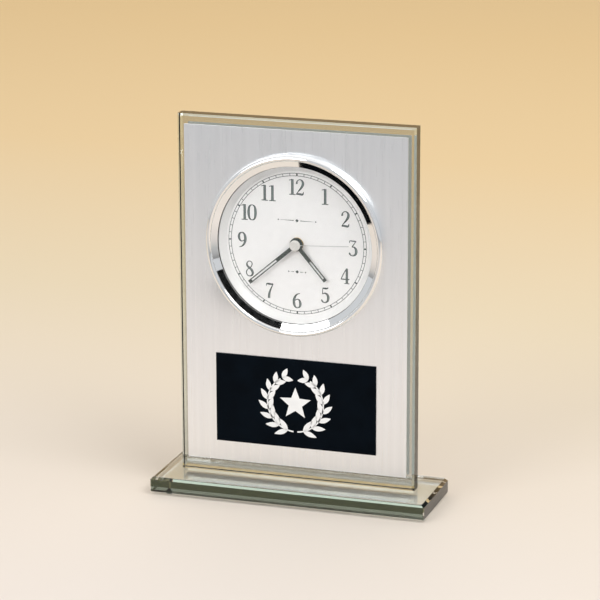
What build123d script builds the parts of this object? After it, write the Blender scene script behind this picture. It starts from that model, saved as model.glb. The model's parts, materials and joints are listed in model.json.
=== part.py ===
from build123d import *
import os
from math import cos, pi, radians, sin

# Glass desk clock. Millimetres. +Z is up, the dial faces -Y, +X is to the right of the dial.
# The origin is on the table, under the middle of the base.

# --- stand -----------------------------------------------------------------------------------
bumper_radius = 4.5
bumper_height = 0.8
bumper_inset_x = 10.0
bumper_inset_y = 8.0

base_width = 141.3
base_depth = 44.0
base_thickness = 8.0
base_bevel = 1.3
under_bevel = 0.6
base_sheet_thickness = 0.3
sheet_margin = 3.2

upright_width = 120.65
upright_height = 181.0
upright_thickness = 8.0
upright_bevel = 1.0
corner_bevel = 0.5

plate_width = 113.2
plate_height = 169.4
plate_thickness = 0.5
plate_top_margin = 4.7

plaque_width = 82.4
plaque_height = 45.2
plaque_thickness = 0.6
plaque_bevel = 0.15
plaque_above_base = 39.6

clock_above_base = 119.6
bore_radius = 40.0

# --- clock insert: radii, and distances in front of the front plate -------------------------
bezel_radius = 45.0
bezel_back_radius = 44.0
bezel_peak_radius = 43.5
bezel_peak = 4.2
bezel_waist = 2.3
bezel_lower_radius = 44.75
bezel_lower = 0.9
bezel_upper_radius = 44.6
bezel_upper = 3.6
bezel_crest_radius = 42.75
bezel_crest = 3.85
bezel_step_radius = 42.2
bezel_step = 3.1
lip_radius = 39.3
lip_front = 1.7
lip_rear = 1.35
pocket_radius = 41.6
flange_radius = 41.5
flange_inner_radius = 39.35
flange_front = 0.55
seat_gap = 0.05
lens_radius = 41.3
lens_dome_radius = 39.2
lens_hollow_radius = 38.9
lens_rim_front = 1.3
lens_rim_rear = 0.75
lens_crown = 1.6
lens_rear_crown = 1.1
lens_gasket_radius = 40.15
lens_gasket_front = 0.65
lens_gasket_width = 2.1
lens_gasket_thickness = 0.18
ring_top_radius = 38.9
ring_top = 0.5
ring_wall = 0.25
ring_bottom_radius = 36.2
ring_gap = 0.04
ring_foot_radius = 37.7
ring_foot_step = 0.55
ring_foot_thickness = 0.4

# --- clock insert: radii, and y of faces behind the front plate ------------------------------
case_radius = 39.6
case_shoulder = 1.0
case_bore_radius = 38.0
case_mouth = 1.2
case_rear_y = 11.0
gasket_seat_radius = 39.0
gasket_width = 7.0
gasket_wall = 0.6
gasket_wall_radius = 39.33
gasket_centre_y = 0.8
gasket_rib_count = 4
gasket_rib_pitch = 1.9
gasket_rib_height = 0.44
gasket_rib_radius = 39.7
gasket_rib_width = 0.8
ledge_radius = 36.8
ledge_thickness = 1.0
dial_radius = 37.8
dial_front_y = -1.2
dial_thickness = 0.4
dial_hole_radius = 2.5
cover_front_y = 9.6
cover_radius = 37.9
cover_groove_radius = 30.2
cover_groove_width = 0.8
cover_groove_depth = 0.4
boss_circle_radius = 35.9
boss_radius = 2.2
boss_length = 5.0
screw_radius = 0.8
screw_head_radius = 1.6
screw_head_height = 0.6
screw_seat_depth = 0.7
screw_slot = 0.4
screw_slot_depth = 0.25
screw_play = 0.1
screw_length = 5.0
screw_start_angle = 90
screw_count = 3

# --- movement shell --------------------------------------------------------------------------
housing_left = -16.6
housing_right = 22.5
housing_bottom = -22.0
housing_top = 14.5
housing_corner = 3.0
housing_wall = 0.9
housing_front_y = -0.75
floor_y = 0.05
housing_rear_y = 8.2
movement_rear_y = 9.0
arbor_radius = 0.4
arbor_bore_radius = 0.45
arbor_rear_y = 7.8
bearing_radius = 0.85
cover_bearing_height = 0.8
cover_bore_depth = 0.3
pivot_length = 0.6
pivot_play = 0.1
post_radius = 2.4
post_bore_radius = 1.76
post_front_y = -2.15
nut_radius = 3.3
nut_thickness = 0.7
nut_gap = 0.05
nut_slot_width = 0.8
nut_slot_depth = 0.35
stud_radius = 0.7
stud_length = 2.1
set_bush_radius = 1.6
set_bush_length = 0.9
running_gap = 0.06
press_gap = 0.01

# --- wheels ----------------------------------------------------------------------------------
addendum = 0.8
dedendum = 1.1
tooth_root_overlap = 0.97
tooth_foot_share = 0.5
tooth_tip_share = 0.22
centre_module = 0.2
third_module = centre_module * 72 / 68
motion_module = 0.25
minute_work_module = motion_module * 50 / 48
second_module = 0.32
rotor_module = 0.24

second_wheel_teeth = 40
intermediate_pinion_teeth = 8
intermediate_wheel_teeth = 48
rotor_pinion_teeth = 8
second_pinion_teeth = 8
third_wheel_teeth = 60
third_pinion_teeth = 8
centre_wheel_teeth = 64
cannon_teeth = 12
minute_work_wheel_teeth = 36
minute_work_pinion_teeth = 10
hour_wheel_teeth = 40
set_pinion_teeth = 12

third_bearing_angle = 180
minute_work_bearing_angle = 60
intermediate_bearing_angle = -50
rotor_bearing_angle = -10
set_bearing_angle = 20

# y of the rear face of each wheel and pinion, from the front of the movement backwards
hour_wheel_y = 1.05
minute_work_pinion_y = 1.35
minute_work_wheel_y = 1.95
set_pinion_y = 2.0
cannon_y = 2.05
centre_wheel_y = 2.9
centre_hub_y = 3.1
third_pinion_y = 3.6
third_wheel_y = 4.2
second_pinion_y = 4.4
second_wheel_y = 5.4
magnet_y = 5.4
intermediate_pinion_y = 6.2
intermediate_wheel_y = 6.8
rotor_pinion_y = 7.0
wheel_thickness = 0.6
hour_wheel_thickness = 0.7
hour_window_circle = 3.2
hour_window_count = 6
hour_window_radius = 0.8

# lightening holes of each wheel: how many, the radius of their circle and their own radius
second_windows = (5, 3.4, 1.1)
third_windows = (6, 4.1, 1.2)
centre_windows = (6, 4.2, 1.2)
minute_work_windows = (5, 3.0, 0.9)
intermediate_windows = (5, 3.6, 1.2)

# lengths and radii of pinions, hubs and necks
pinion_length = 0.8
second_pinion_length = 1.0
second_hub_radius = 1.3
second_hub_height = 0.5
second_neck_radius = 1.0
third_pinion_length = 1.5
third_hub_radius = 1.2
third_hub_height = 0.4
centre_hub_radius = 1.9
centre_hub_height = 1.0
minute_work_pinion_length = 1.0
intermediate_pinion_length = 1.7
rotor_pinion_length = 1.2
rotor_hub_length = 1.9
rotor_hub_radius = 0.7

# y where the free arbors' front bearings end
third_bearing_y = 1.6
intermediate_bearing_y = 3.8
rotor_bearing_y = 3.2

# --- hands, set for 4:38:14.5 ----------------------------------------------------------------
shown_hour = 4
shown_minute = 38
shown_second = 14.5
hand_width = 1.9
slot_width = 0.85
hand_thickness = 0.2
collet_thickness = 0.3
hour_hand_length = 22.7
hour_hand_y = -2.6
hour_boss_radius = 3.3
hour_collet_radius = 2.6
hour_slot = (0.47, 0.93)
hour_tube_radius = 1.7
hour_tube_bore = 1.06
hour_tube_front_y = -3.0
minute_hand_length = 31.4
minute_hand_y = -3.45
minute_boss_radius = 2.4
minute_collet_radius = 1.8
minute_slot = (0.41, 0.94)
minute_tube_radius = 1.0
minute_tube_bore = 0.46
minute_tube_rear_y = 3.2
minute_tube_front_y = -3.85
second_hand_length = 27.1
second_hand_width = 0.32
second_hand_y = -4.3
second_hand_thickness = 0.12
second_boss_radius = 1.2
second_arbor_rear_y = 7.9
second_arbor_front_y = -5.0
cap_radius = 2.65
cap_thickness = 1.2
cap_round = 0.45

# --- battery, time base and motor --------------------------------------------------------------
battery_x = -8.0
battery_z = -14.0
battery_radius = 5.8
battery_height = 5.4
battery_front_y = 2.6
battery_step = 0.8
battery_rim = 0.9
battery_bevel = 0.3
well_inner_radius = 6.0
well_outer_radius = 6.9
well_notch = (4.0, 3.0)
hatch_radius = 6.6
hatch_front_y = 9.05
hatch_lug_y = 9.5
hatch_lug_reach = 1.0
hatch_lug_width = 3.0
hatch_lug_thickness = 0.42
lug_clearance = 0.5
hatch_play = 0.05
hatch_pad_radius = 5.4
hatch_pad_front_y = 8.2
hatch_turn = 35
coin_slot = (9.0, 1.5)
coin_slot_depth = 1.0
strip_thickness = 0.2
strip_inset = 0.15
strip_top_z = 11.9
strip_bottom_z = -15.0
positive_rear_y = 7.4
positive_width = 1.2
positive_arm_drop = 0.9
negative_rear_y = 3.3
negative_width = 1.0
negative_arm_width = 2.0
negative_tab_length = 2.4
board_front_y = 5.6
board_thickness = 0.8
board_left = -15.3
board_right = 6.0
board_bottom = 7.6
board_top = 13.3
board_corner = 1.2
chip_x = 1.0
chip_size = (4.0, 3.4)
chip_height = 1.1
chip_taper = 4
crystal_x = -12.0
crystal_radius = 1.0
crystal_length = 6.0
crystal_round = 0.4
stator_front_y = 4.4
stator_thickness = 0.6
stator_bar_width = 5.0
stator_ring_radius = 4.6
stator_bore_radius = 3.1
magnet_radius = 2.8
magnet_thickness = 1.4
coil_x = 18.5
bobbin_width = 4.0
bobbin_depth = 1.6
bobbin_round = 0.3
flange_width = 4.6
flange_depth = 4.2
flange_round = 0.8
winding_width = 4.3
winding_depth = 3.8
winding_round = 0.9
coil_length = 13.0
coil_flange = 0.6
core_width = 3.0
core_play = 0.04
motor_top = 4.0
motor_bottom = -17.0
motor_screw_inset = 1.5
motor_screw_radius = 0.65
motor_head_radius = 1.2
motor_head_height = 0.6
motor_pillar_radius = 1.3

# --- time-setting knob -------------------------------------------------------------------------
set_shaft_radius = 1.0
set_shaft_play = 0.3
set_shaft_front_y = 0.2
set_shaft_rear_y = 11.6
knob_radius = 4.6
knob_front_y = 11.2
knob_rear_y = 13.6
knob_bevel = 0.4
knob_flute_circle = 4.7
knob_flute_count = 30
knob_flute_radius = 0.22

# --- derived positions -------------------------------------------------------------------------
glass_bottom = bumper_height + base_sheet_thickness
base_top = glass_bottom + base_thickness
upright_top = base_top + upright_height
clock_height = base_top + clock_above_base
front_face = -upright_thickness / 2 - plate_thickness
plate_centre_z = upright_top - plate_top_margin - plate_height / 2

section = Plane.XY.offset(clock_height)
clock_axis = Axis((0, 0, clock_height), (0, 1, 0))
case_screw_angles = [screw_start_angle + 360 * index / screw_count for index in range(screw_count)]
case_screw_spots = []
for screw_angle in case_screw_angles:
    spot_x = boss_circle_radius * cos(radians(screw_angle))
    spot_z = boss_circle_radius * sin(radians(screw_angle))
    case_screw_spots.append((spot_x, spot_z))


def facing(y):
    """A plane square to the clock's axis at depth y, seen from the front."""
    return Plane(origin=(0, y, clock_height), x_dir=(1, 0, 0), z_dir=(0, -1, 0))


def forward(distance):
    """The y of a point that stands this far in front of the front plate."""
    return front_face - distance


def polar(radius, angle):
    """Point in a facing plane at this radius and angle from the clock's axis."""
    return (radius * cos(radians(angle)), radius * sin(radians(angle)))


def shifted(start, radius, angle):
    """Point at this radius and angle from another point of a facing plane."""
    step = polar(radius, angle)
    return (start[0] + step[0], start[1] + step[1])


def pitch_distance(module, wheel_teeth, pinion_teeth):
    """Distance between the axes of a meshed wheel and pinion."""
    return module * (wheel_teeth + pinion_teeth) / 2


def meshed_phase(bearing, teeth, driver_teeth, driver_phase=0.0):
    """Angle of a tooth of a wheel that meshes, at rest, with a wheel standing at -bearing."""
    return bearing + 180 + 180 / teeth - (driver_phase - bearing) * driver_teeth / teeth


def clock_angle(turns):
    """Angle of a hand in a facing plane, from its turns past twelve."""
    return 90 - 360 * turns


def finish_part(builder, name):
    """Labels a piece and writes its STEP file."""
    builder.part.label = name
    export_step(builder.part, "parts/" + name + ".step")


def draw_gear(teeth, module, centre=(0, 0), phase=0.0):
    """Adds a gear's outline to the active sketch: a root disc with straight-sided teeth."""
    root = module * (teeth / 2 - dedendum)
    tip = module * (teeth / 2 + addendum)
    foot = root * tooth_root_overlap
    foot_half = module * pi * tooth_foot_share / 2
    tip_half = module * pi * tooth_tip_share / 2
    with Locations(centre):
        Circle(root)
        with PolarLocations(0, teeth, start_angle=phase):
            Polygon((foot, -foot_half), (tip, -tip_half), (tip, tip_half), (foot, foot_half))


def draw_hand(length, angle, boss, slot_span, bore):
    """Adds a straight hand with a boss, an open slot and a centre bore to the active sketch."""
    slot_start = length * slot_span[0]
    slot_end = length * slot_span[1]
    with PolarLocations(0, 1, start_angle=angle):
        with Locations((length / 2, 0)):
            Rectangle(length, hand_width)
    Circle(boss)
    Circle(bore, mode=Mode.SUBTRACT)
    with PolarLocations(0, 1, start_angle=angle):
        with Locations(((slot_start + slot_end) / 2, 0)):
            Rectangle(slot_end - slot_start, slot_width, mode=Mode.SUBTRACT)


def add_gear(rear_y, thickness, teeth, module, centre=(0, 0), phase=0.0):
    """Adds a gear to the active part, from rear_y forward by its thickness."""
    with BuildSketch(facing(rear_y)) as outline:
        draw_gear(teeth, module, centre, phase)
    extrude(outline.sketch, amount=thickness)


def add_disc(rear_y, front_y, radius, centre=(0, 0)):
    """Adds a round boss, hub or arbor to the active part, from rear_y forward to front_y."""
    with BuildSketch(facing(rear_y)) as outline:
        with Locations(centre):
            Circle(radius)
    extrude(outline.sketch, amount=rear_y - front_y)


def cut_disc(rear_y, front_y, radius, centre=(0, 0)):
    """Cuts a round hole in the active part, from rear_y forward to front_y."""
    with BuildSketch(facing(rear_y)) as outline:
        with Locations(centre):
            Circle(radius)
    extrude(outline.sketch, amount=rear_y - front_y, mode=Mode.SUBTRACT)


def cut_windows(rear_y, count, circle_radius, radius, centre=(0, 0)):
    """Cuts a ring of round lightening holes through a wheel of the active part."""
    with BuildSketch(facing(rear_y)) as outline:
        with Locations(centre):
            with PolarLocations(circle_radius, count):
                Circle(radius)
    extrude(outline.sketch, amount=wheel_thickness, mode=Mode.SUBTRACT)


# axes of the train, in the facing plane
third_axis = polar(
    pitch_distance(centre_module, centre_wheel_teeth, third_pinion_teeth), third_bearing_angle
)
minute_work_axis = polar(
    pitch_distance(motion_module, hour_wheel_teeth, minute_work_pinion_teeth),
    minute_work_bearing_angle,
)
intermediate_axis = polar(
    pitch_distance(second_module, second_wheel_teeth, intermediate_pinion_teeth),
    intermediate_bearing_angle,
)
rotor_axis = shifted(
    intermediate_axis,
    pitch_distance(rotor_module, intermediate_wheel_teeth, rotor_pinion_teeth),
    rotor_bearing_angle,
)
set_axis = shifted(
    minute_work_axis,
    pitch_distance(minute_work_module, minute_work_wheel_teeth, set_pinion_teeth),
    set_bearing_angle,
)
battery_axis = (battery_x, battery_z)
free_arbors = [third_axis, intermediate_axis, rotor_axis]
bearing_depths = [third_bearing_y, intermediate_bearing_y, rotor_bearing_y]
motor_screw_spots = [
    (coil_x, motor_bottom + motor_screw_inset),
    (coil_x, motor_top - motor_screw_inset),
]

os.makedirs("parts", exist_ok=True)

# === stand =====================================================================================

with BuildPart() as upright_glass:
    with BuildSketch(Plane.XZ.offset(-upright_thickness / 2)):
        with Locations((0, base_top + upright_height / 2)):
            Rectangle(upright_width, upright_height)
    extrude(amount=upright_thickness)
    broad_faces = upright_glass.faces().sort_by(Axis.Y)
    chamfer(broad_faces[0].edges() + broad_faces[-1].edges(), upright_bevel)
    cut_disc(upright_thickness, -upright_thickness, bore_radius)
finish_part(upright_glass, "upright_glass")

for plate_name, plate_side in (("front_plate", -1), ("rear_plate", 1)):
    plate_start = plate_side * upright_thickness / 2
    with BuildPart() as sheet_plate:
        with BuildSketch(Plane.XZ.offset(-plate_start)):
            with Locations((0, plate_centre_z)):
                Rectangle(plate_width, plate_height)
            with Locations((0, clock_height)):
                Circle(bore_radius, mode=Mode.SUBTRACT)
        extrude(amount=-plate_side * plate_thickness)
    finish_part(sheet_plate, plate_name)

with BuildPart() as plaque:
    with BuildSketch(Plane.XZ.offset(-front_face)):
        with Locations((0, base_top + plaque_above_base)):
            Rectangle(plaque_width, plaque_height)
    extrude(amount=plaque_thickness)
    chamfer(plaque.faces().sort_by(Axis.Y)[0].edges(), plaque_bevel)
finish_part(plaque, "plaque")

with BuildPart() as base_glass:
    with BuildSketch(Plane.XY.offset(glass_bottom)):
        Rectangle(base_width, base_depth)
    extrude(amount=base_thickness)
    chamfer(base_glass.faces().sort_by(Axis.Z)[-1].edges(), base_bevel)
    chamfer(base_glass.faces().sort_by(Axis.Z)[0].edges(), under_bevel)
    chamfer(base_glass.edges().filter_by(Axis.Z), corner_bevel)
finish_part(base_glass, "base_glass")

with BuildPart() as base_plate:
    with BuildSketch(Plane.XY.offset(bumper_height)):
        Rectangle(base_width - 2 * sheet_margin, base_depth - 2 * sheet_margin)
    extrude(amount=base_sheet_thickness)
finish_part(base_plate, "base_plate")

with BuildPart() as bumper_feet:
    with BuildSketch():
        with GridLocations(base_width - 2 * bumper_inset_x, base_depth - 2 * bumper_inset_y, 2, 2):
            Circle(bumper_radius)
    extrude(amount=bumper_height)
finish_part(bumper_feet, "bumper_feet")

# === clock insert ==============================================================================

back_y = forward(seat_gap)
with BuildPart() as bezel:
    with BuildSketch(section):
        with BuildLine():
            back_edge = (bezel_back_radius, back_y)
            widest = (bezel_radius, forward(bezel_waist))
            peak = (bezel_peak_radius, forward(bezel_peak))
            step_foot = (bezel_step_radius, forward(bezel_step))
            lip_edge = (lip_radius, forward(lip_front))
            pocket_edge = (pocket_radius, forward(lip_rear))
            Line((pocket_radius, back_y), back_edge)
            ThreePointArc(back_edge, (bezel_lower_radius, forward(bezel_lower)), widest)
            ThreePointArc(widest, (bezel_upper_radius, forward(bezel_upper)), peak)
            ThreePointArc(peak, (bezel_crest_radius, forward(bezel_crest)), step_foot)
            Polyline(step_foot, lip_edge, (lip_radius, forward(lip_rear)), pocket_edge)
            Line(pocket_edge, (pocket_radius, back_y))
        make_face()
    revolve(axis=clock_axis)
finish_part(bezel, "bezel")

with BuildPart() as lens:
    with BuildSketch(section):
        with BuildLine():
            crown_front = (0, forward(lens_rim_front + lens_crown))
            crown_rear = (0, forward(lens_rim_rear + lens_rear_crown))
            rim_front = (lens_dome_radius, forward(lens_rim_front))
            rim_rear = (lens_hollow_radius, forward(lens_rim_rear))
            Line(crown_rear, crown_front)
            TangentArc(crown_front, rim_front, tangent=(1, 0))
            Polyline(rim_front, (lens_radius, rim_front[1]), (lens_radius, rim_rear[1]), rim_rear)
            TangentArc(crown_rear, rim_rear, tangent=(1, 0))
        make_face()
    revolve(axis=clock_axis)
finish_part(lens, "lens")

with BuildPart() as lens_gasket:
    with BuildSketch(section):
        with Locations((lens_gasket_radius, forward(lens_gasket_front))):
            Rectangle(lens_gasket_width, lens_gasket_thickness)
    revolve(axis=clock_axis)
finish_part(lens_gasket, "lens_gasket")

ring_foot_rear_y = dial_front_y - ring_gap
ring_foot_front_y = ring_foot_rear_y - ring_foot_thickness
with BuildPart() as dial_ring:
    with BuildSketch(section):
        Polygon(
            (ring_top_radius, forward(ring_top)),
            (ring_top_radius + ring_wall, forward(ring_top)),
            (ring_bottom_radius + ring_foot_step, ring_foot_front_y),
            (ring_foot_radius, ring_foot_front_y),
            (ring_foot_radius, ring_foot_rear_y),
            (ring_bottom_radius, ring_foot_rear_y),
        )
    revolve(axis=clock_axis)
finish_part(dial_ring, "dial_ring")

with BuildPart() as dial:
    add_disc(dial_front_y + dial_thickness, dial_front_y, dial_radius)
    cut_disc(dial_front_y + dial_thickness, dial_front_y, dial_hole_radius)
finish_part(dial, "dial")

ledge_front_y = dial_front_y + dial_thickness
ledge_rear_y = ledge_front_y + ledge_thickness
with BuildPart() as insert_case:
    with BuildSketch(section):
        Polygon(
            (flange_inner_radius, forward(flange_front)),
            (flange_radius, forward(flange_front)),
            (flange_radius, forward(seat_gap)),
            (case_radius, forward(seat_gap)),
            (case_radius, forward(-case_shoulder)),
            (gasket_seat_radius, forward(-case_shoulder)),
            (gasket_seat_radius, case_rear_y),
            (case_bore_radius, case_rear_y),
            (case_bore_radius, ledge_rear_y),
            (ledge_radius, ledge_rear_y),
            (ledge_radius, ledge_front_y),
            (case_bore_radius, ledge_front_y),
            (case_bore_radius, forward(-case_mouth)),
        )
    revolve(axis=clock_axis)
    with BuildSketch(facing(cover_front_y)):
        with Locations(*case_screw_spots):
            Circle(boss_radius)
            Circle(screw_radius, mode=Mode.SUBTRACT)
    extrude(amount=boss_length)
finish_part(insert_case, "insert_case")

gasket_rib_start_y = gasket_centre_y - (gasket_rib_count - 1) * gasket_rib_pitch / 2
with BuildPart() as mounting_gasket:
    with BuildSketch(section):
        with Locations((gasket_wall_radius, gasket_centre_y)):
            Rectangle(gasket_wall, gasket_width)
        for rib in range(gasket_rib_count):
            with Locations((gasket_rib_radius, gasket_rib_start_y + gasket_rib_pitch * rib)):
                Rectangle(gasket_rib_height, gasket_rib_width)
    revolve(axis=clock_axis)
finish_part(mounting_gasket, "mounting_gasket")

screw_seat_y = case_rear_y - screw_seat_depth
with BuildPart() as rear_cover:
    with BuildSketch(facing(case_rear_y)):
        Circle(cover_radius)
        with Locations(battery_axis):
            Circle(hatch_radius + hatch_play, mode=Mode.SUBTRACT)
            for lug_side in (0, 180):
                with PolarLocations(0, 1, start_angle=lug_side - hatch_turn):
                    with Locations((hatch_radius, 0)):
                        Rectangle(
                            2 * hatch_lug_reach + lug_clearance,
                            hatch_lug_width + lug_clearance,
                            mode=Mode.SUBTRACT,
                        )
        with Locations(set_axis):
            Circle(set_shaft_radius + set_shaft_play, mode=Mode.SUBTRACT)
        with Locations(*case_screw_spots):
            Circle(screw_radius + screw_play, mode=Mode.SUBTRACT)
    extrude(amount=case_rear_y - cover_front_y)
    with BuildSketch(facing(case_rear_y)):
        Circle(cover_groove_radius + cover_groove_width / 2)
        Circle(cover_groove_radius - cover_groove_width / 2, mode=Mode.SUBTRACT)
    extrude(amount=cover_groove_depth, mode=Mode.SUBTRACT)
    for spot in case_screw_spots:
        cut_disc(case_rear_y, screw_seat_y, screw_head_radius + screw_play, spot)
finish_part(rear_cover, "rear_cover")

screw_top_y = screw_seat_y + screw_head_height
with BuildPart() as case_screws:
    for spot in case_screw_spots:
        add_disc(screw_top_y, screw_seat_y, screw_head_radius, spot)
        add_disc(screw_seat_y, screw_seat_y - screw_length, screw_radius - press_gap, spot)
    with BuildSketch(facing(screw_top_y)):
        with Locations(*case_screw_spots):
            Rectangle(2 * screw_head_radius, screw_slot)
            Rectangle(screw_slot, 2 * screw_head_radius)
    extrude(amount=screw_slot_depth, mode=Mode.SUBTRACT)
finish_part(case_screws, "case_screws")

# === movement shell ============================================================================

housing_width = housing_right - housing_left
housing_tall = housing_top - housing_bottom
housing_centre = ((housing_left + housing_right) / 2, (housing_top + housing_bottom) / 2)

with BuildPart() as movement_housing:
    with BuildSketch(facing(housing_rear_y)):
        with Locations(housing_centre):
            RectangleRounded(housing_width, housing_tall, housing_corner)
    extrude(amount=housing_rear_y - housing_front_y)
    with BuildSketch(facing(housing_rear_y)):
        with Locations(housing_centre):
            RectangleRounded(
                housing_width - 2 * housing_wall,
                housing_tall - 2 * housing_wall,
                housing_corner - housing_wall,
            )
    extrude(amount=housing_rear_y - floor_y, mode=Mode.SUBTRACT)
    add_disc(floor_y, post_front_y, post_radius)
    for bearing_axis, bearing_depth in zip(free_arbors, bearing_depths):
        add_disc(bearing_depth, floor_y, bearing_radius, bearing_axis)
        cut_disc(bearing_depth, bearing_depth - pivot_length, arbor_bore_radius, bearing_axis)
    with BuildSketch(facing(housing_rear_y)):
        with Locations(battery_axis):
            Circle(well_outer_radius)
            Circle(well_inner_radius, mode=Mode.SUBTRACT)
            with Locations((-well_outer_radius, 0)):
                Rectangle(*well_notch, mode=Mode.SUBTRACT)
    extrude(amount=housing_rear_y - floor_y)
    for spot in motor_screw_spots:
        add_disc(stator_front_y, floor_y, motor_pillar_radius, spot)
    add_disc(floor_y + stud_length, floor_y, stud_radius, minute_work_axis)
    add_disc(floor_y + set_bush_length, floor_y, set_bush_radius, set_axis)
    cut_disc(floor_y + set_bush_length, floor_y, set_shaft_radius + running_gap, set_axis)
    cut_disc(floor_y, post_front_y, post_bore_radius)
finish_part(movement_housing, "movement_housing")

cover_bearing_front_y = housing_rear_y - cover_bearing_height
cover_bore_rear_y = housing_rear_y + cover_bore_depth
with BuildPart() as movement_cover:
    with BuildSketch(facing(movement_rear_y)):
        with Locations(housing_centre):
            RectangleRounded(housing_width, housing_tall, housing_corner)
    extrude(amount=movement_rear_y - housing_rear_y)
    for bearing_axis in [*free_arbors, (0, 0)]:
        add_disc(housing_rear_y, cover_bearing_front_y, bearing_radius, bearing_axis)
        cut_disc(cover_bore_rear_y, cover_bearing_front_y, arbor_bore_radius, bearing_axis)
    cut_disc(movement_rear_y, housing_rear_y, well_inner_radius, battery_axis)
    cut_disc(movement_rear_y, housing_rear_y, set_shaft_radius + running_gap, set_axis)
finish_part(movement_cover, "movement_cover")

nut_rear_y = dial_front_y - nut_gap
nut_front_y = nut_rear_y - nut_thickness
with BuildPart() as fixing_nut:
    add_disc(nut_rear_y, nut_front_y, nut_radius)
    cut_disc(nut_rear_y, nut_front_y, post_radius + press_gap)
    with BuildSketch(facing(nut_front_y + nut_slot_depth)):
        Rectangle(2 * nut_radius, nut_slot_width)
    extrude(amount=nut_slot_depth, mode=Mode.SUBTRACT)
finish_part(fixing_nut, "fixing_nut")

# === time base and battery =====================================================================

board_centre = ((board_left + board_right) / 2, (board_bottom + board_top) / 2)

with BuildPart() as circuit_board:
    with BuildSketch(facing(board_front_y + board_thickness)):
        with Locations(board_centre):
            RectangleRounded(board_right - board_left, board_top - board_bottom, board_corner)
    extrude(amount=board_thickness)
finish_part(circuit_board, "circuit_board")

with BuildPart() as driver_chip:
    with BuildSketch(facing(board_front_y)):
        with Locations((chip_x, board_centre[1])):
            Rectangle(*chip_size)
    extrude(amount=chip_height, taper=chip_taper)
finish_part(driver_chip, "driver_chip")

crystal_y = board_front_y - crystal_radius - seat_gap
with BuildPart() as quartz_crystal:
    crystal_start = Plane(
        origin=(crystal_x, crystal_y, clock_height + board_centre[1]), z_dir=(1, 0, 0)
    )
    with BuildSketch(crystal_start):
        Circle(crystal_radius)
    extrude(amount=crystal_length)
    fillet(quartz_crystal.edges().sort_by(Axis.X)[0], crystal_round)
finish_part(quartz_crystal, "quartz_crystal")

battery_can_y = battery_front_y + battery_step
with BuildPart() as battery_cell:
    add_disc(battery_front_y + battery_height, battery_can_y, battery_radius, battery_axis)
    chamfer(battery_cell.edges(), battery_bevel)
    add_disc(battery_can_y, battery_front_y, battery_radius - battery_rim, battery_axis)
finish_part(battery_cell, "battery_cell")

strip_x = housing_left + housing_wall + strip_inset
strip_centre = (strip_x, (strip_top_z + strip_bottom_z) / 2)
strip_height = strip_top_z - strip_bottom_z
battery_side_x = battery_x - battery_radius
with BuildPart() as positive_contact:
    with BuildSketch(facing(positive_rear_y)):
        with Locations(strip_centre):
            Rectangle(strip_thickness, strip_height)
        with Locations(((strip_x + battery_side_x) / 2, battery_z - positive_arm_drop)):
            Rectangle(battery_side_x - strip_x, strip_thickness)
    extrude(amount=positive_width)
finish_part(positive_contact, "positive_contact")

with BuildPart() as negative_contact:
    with BuildSketch(facing(negative_rear_y)):
        with Locations(strip_centre):
            Rectangle(strip_thickness, strip_height)
    extrude(amount=negative_width)
    with BuildSketch(facing(battery_front_y - seat_gap)):
        with Locations(((strip_x + battery_x - strip_thickness) / 2, battery_z)):
            Rectangle(battery_x - strip_x, negative_arm_width)
    extrude(amount=strip_thickness)
    with BuildSketch(facing(board_front_y)):
        with Locations((strip_x, board_centre[1])):
            Rectangle(strip_thickness, negative_arm_width)
    extrude(amount=negative_tab_length)
finish_part(negative_contact, "negative_contact")

# === stepping motor ============================================================================

motor_length = motor_top - motor_bottom
motor_middle = (motor_top + motor_bottom) / 2
core_front_y = stator_front_y + stator_thickness
core_rear_y = core_front_y + stator_thickness
ear_end_x = coil_x + core_width / 2

with BuildPart() as stator:
    with BuildSketch(facing(core_front_y)):
        with Locations((rotor_axis[0], motor_middle)):
            Rectangle(stator_bar_width, motor_length)
        for spot in motor_screw_spots:
            with Locations(((rotor_axis[0] + ear_end_x) / 2, spot[1])):
                Rectangle(ear_end_x - rotor_axis[0], core_width)
        with Locations(rotor_axis):
            Circle(stator_ring_radius)
            Circle(stator_bore_radius, mode=Mode.SUBTRACT)
        with Locations(*motor_screw_spots):
            Circle(motor_screw_radius + seat_gap, mode=Mode.SUBTRACT)
    extrude(amount=stator_thickness)
finish_part(stator, "stator")

with BuildPart() as coil_core:
    with BuildSketch(facing(core_rear_y)):
        with Locations((coil_x, motor_middle)):
            Rectangle(core_width, motor_length)
        with Locations(*motor_screw_spots):
            Circle(motor_screw_radius + seat_gap, mode=Mode.SUBTRACT)
    extrude(amount=stator_thickness)
finish_part(coil_core, "coil_core")

coil_bottom_plane = Plane(
    origin=(coil_x, (core_front_y + core_rear_y) / 2, clock_height + motor_middle - coil_length / 2),
    x_dir=(1, 0, 0),
    z_dir=(0, 0, 1),
)
with BuildPart() as coil_bobbin:
    with BuildSketch(coil_bottom_plane):
        RectangleRounded(bobbin_width, bobbin_depth, bobbin_round)
    extrude(amount=coil_length)
    for flange_height in (0, coil_length - coil_flange):
        with BuildSketch(coil_bottom_plane.offset(flange_height)):
            RectangleRounded(flange_width, flange_depth, flange_round)
        extrude(amount=coil_flange)
    with BuildSketch(coil_bottom_plane):
        Rectangle(core_width + core_play, stator_thickness + core_play)
    extrude(amount=coil_length, mode=Mode.SUBTRACT)
finish_part(coil_bobbin, "coil_bobbin")

with BuildPart() as coil_winding:
    with BuildSketch(coil_bottom_plane.offset(coil_flange + seat_gap)):
        RectangleRounded(winding_width, winding_depth, winding_round)
        RectangleRounded(
            bobbin_width + core_play, bobbin_depth + core_play, bobbin_round, mode=Mode.SUBTRACT
        )
    extrude(amount=coil_length - 2 * (coil_flange + seat_gap))
finish_part(coil_winding, "coil_winding")

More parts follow.
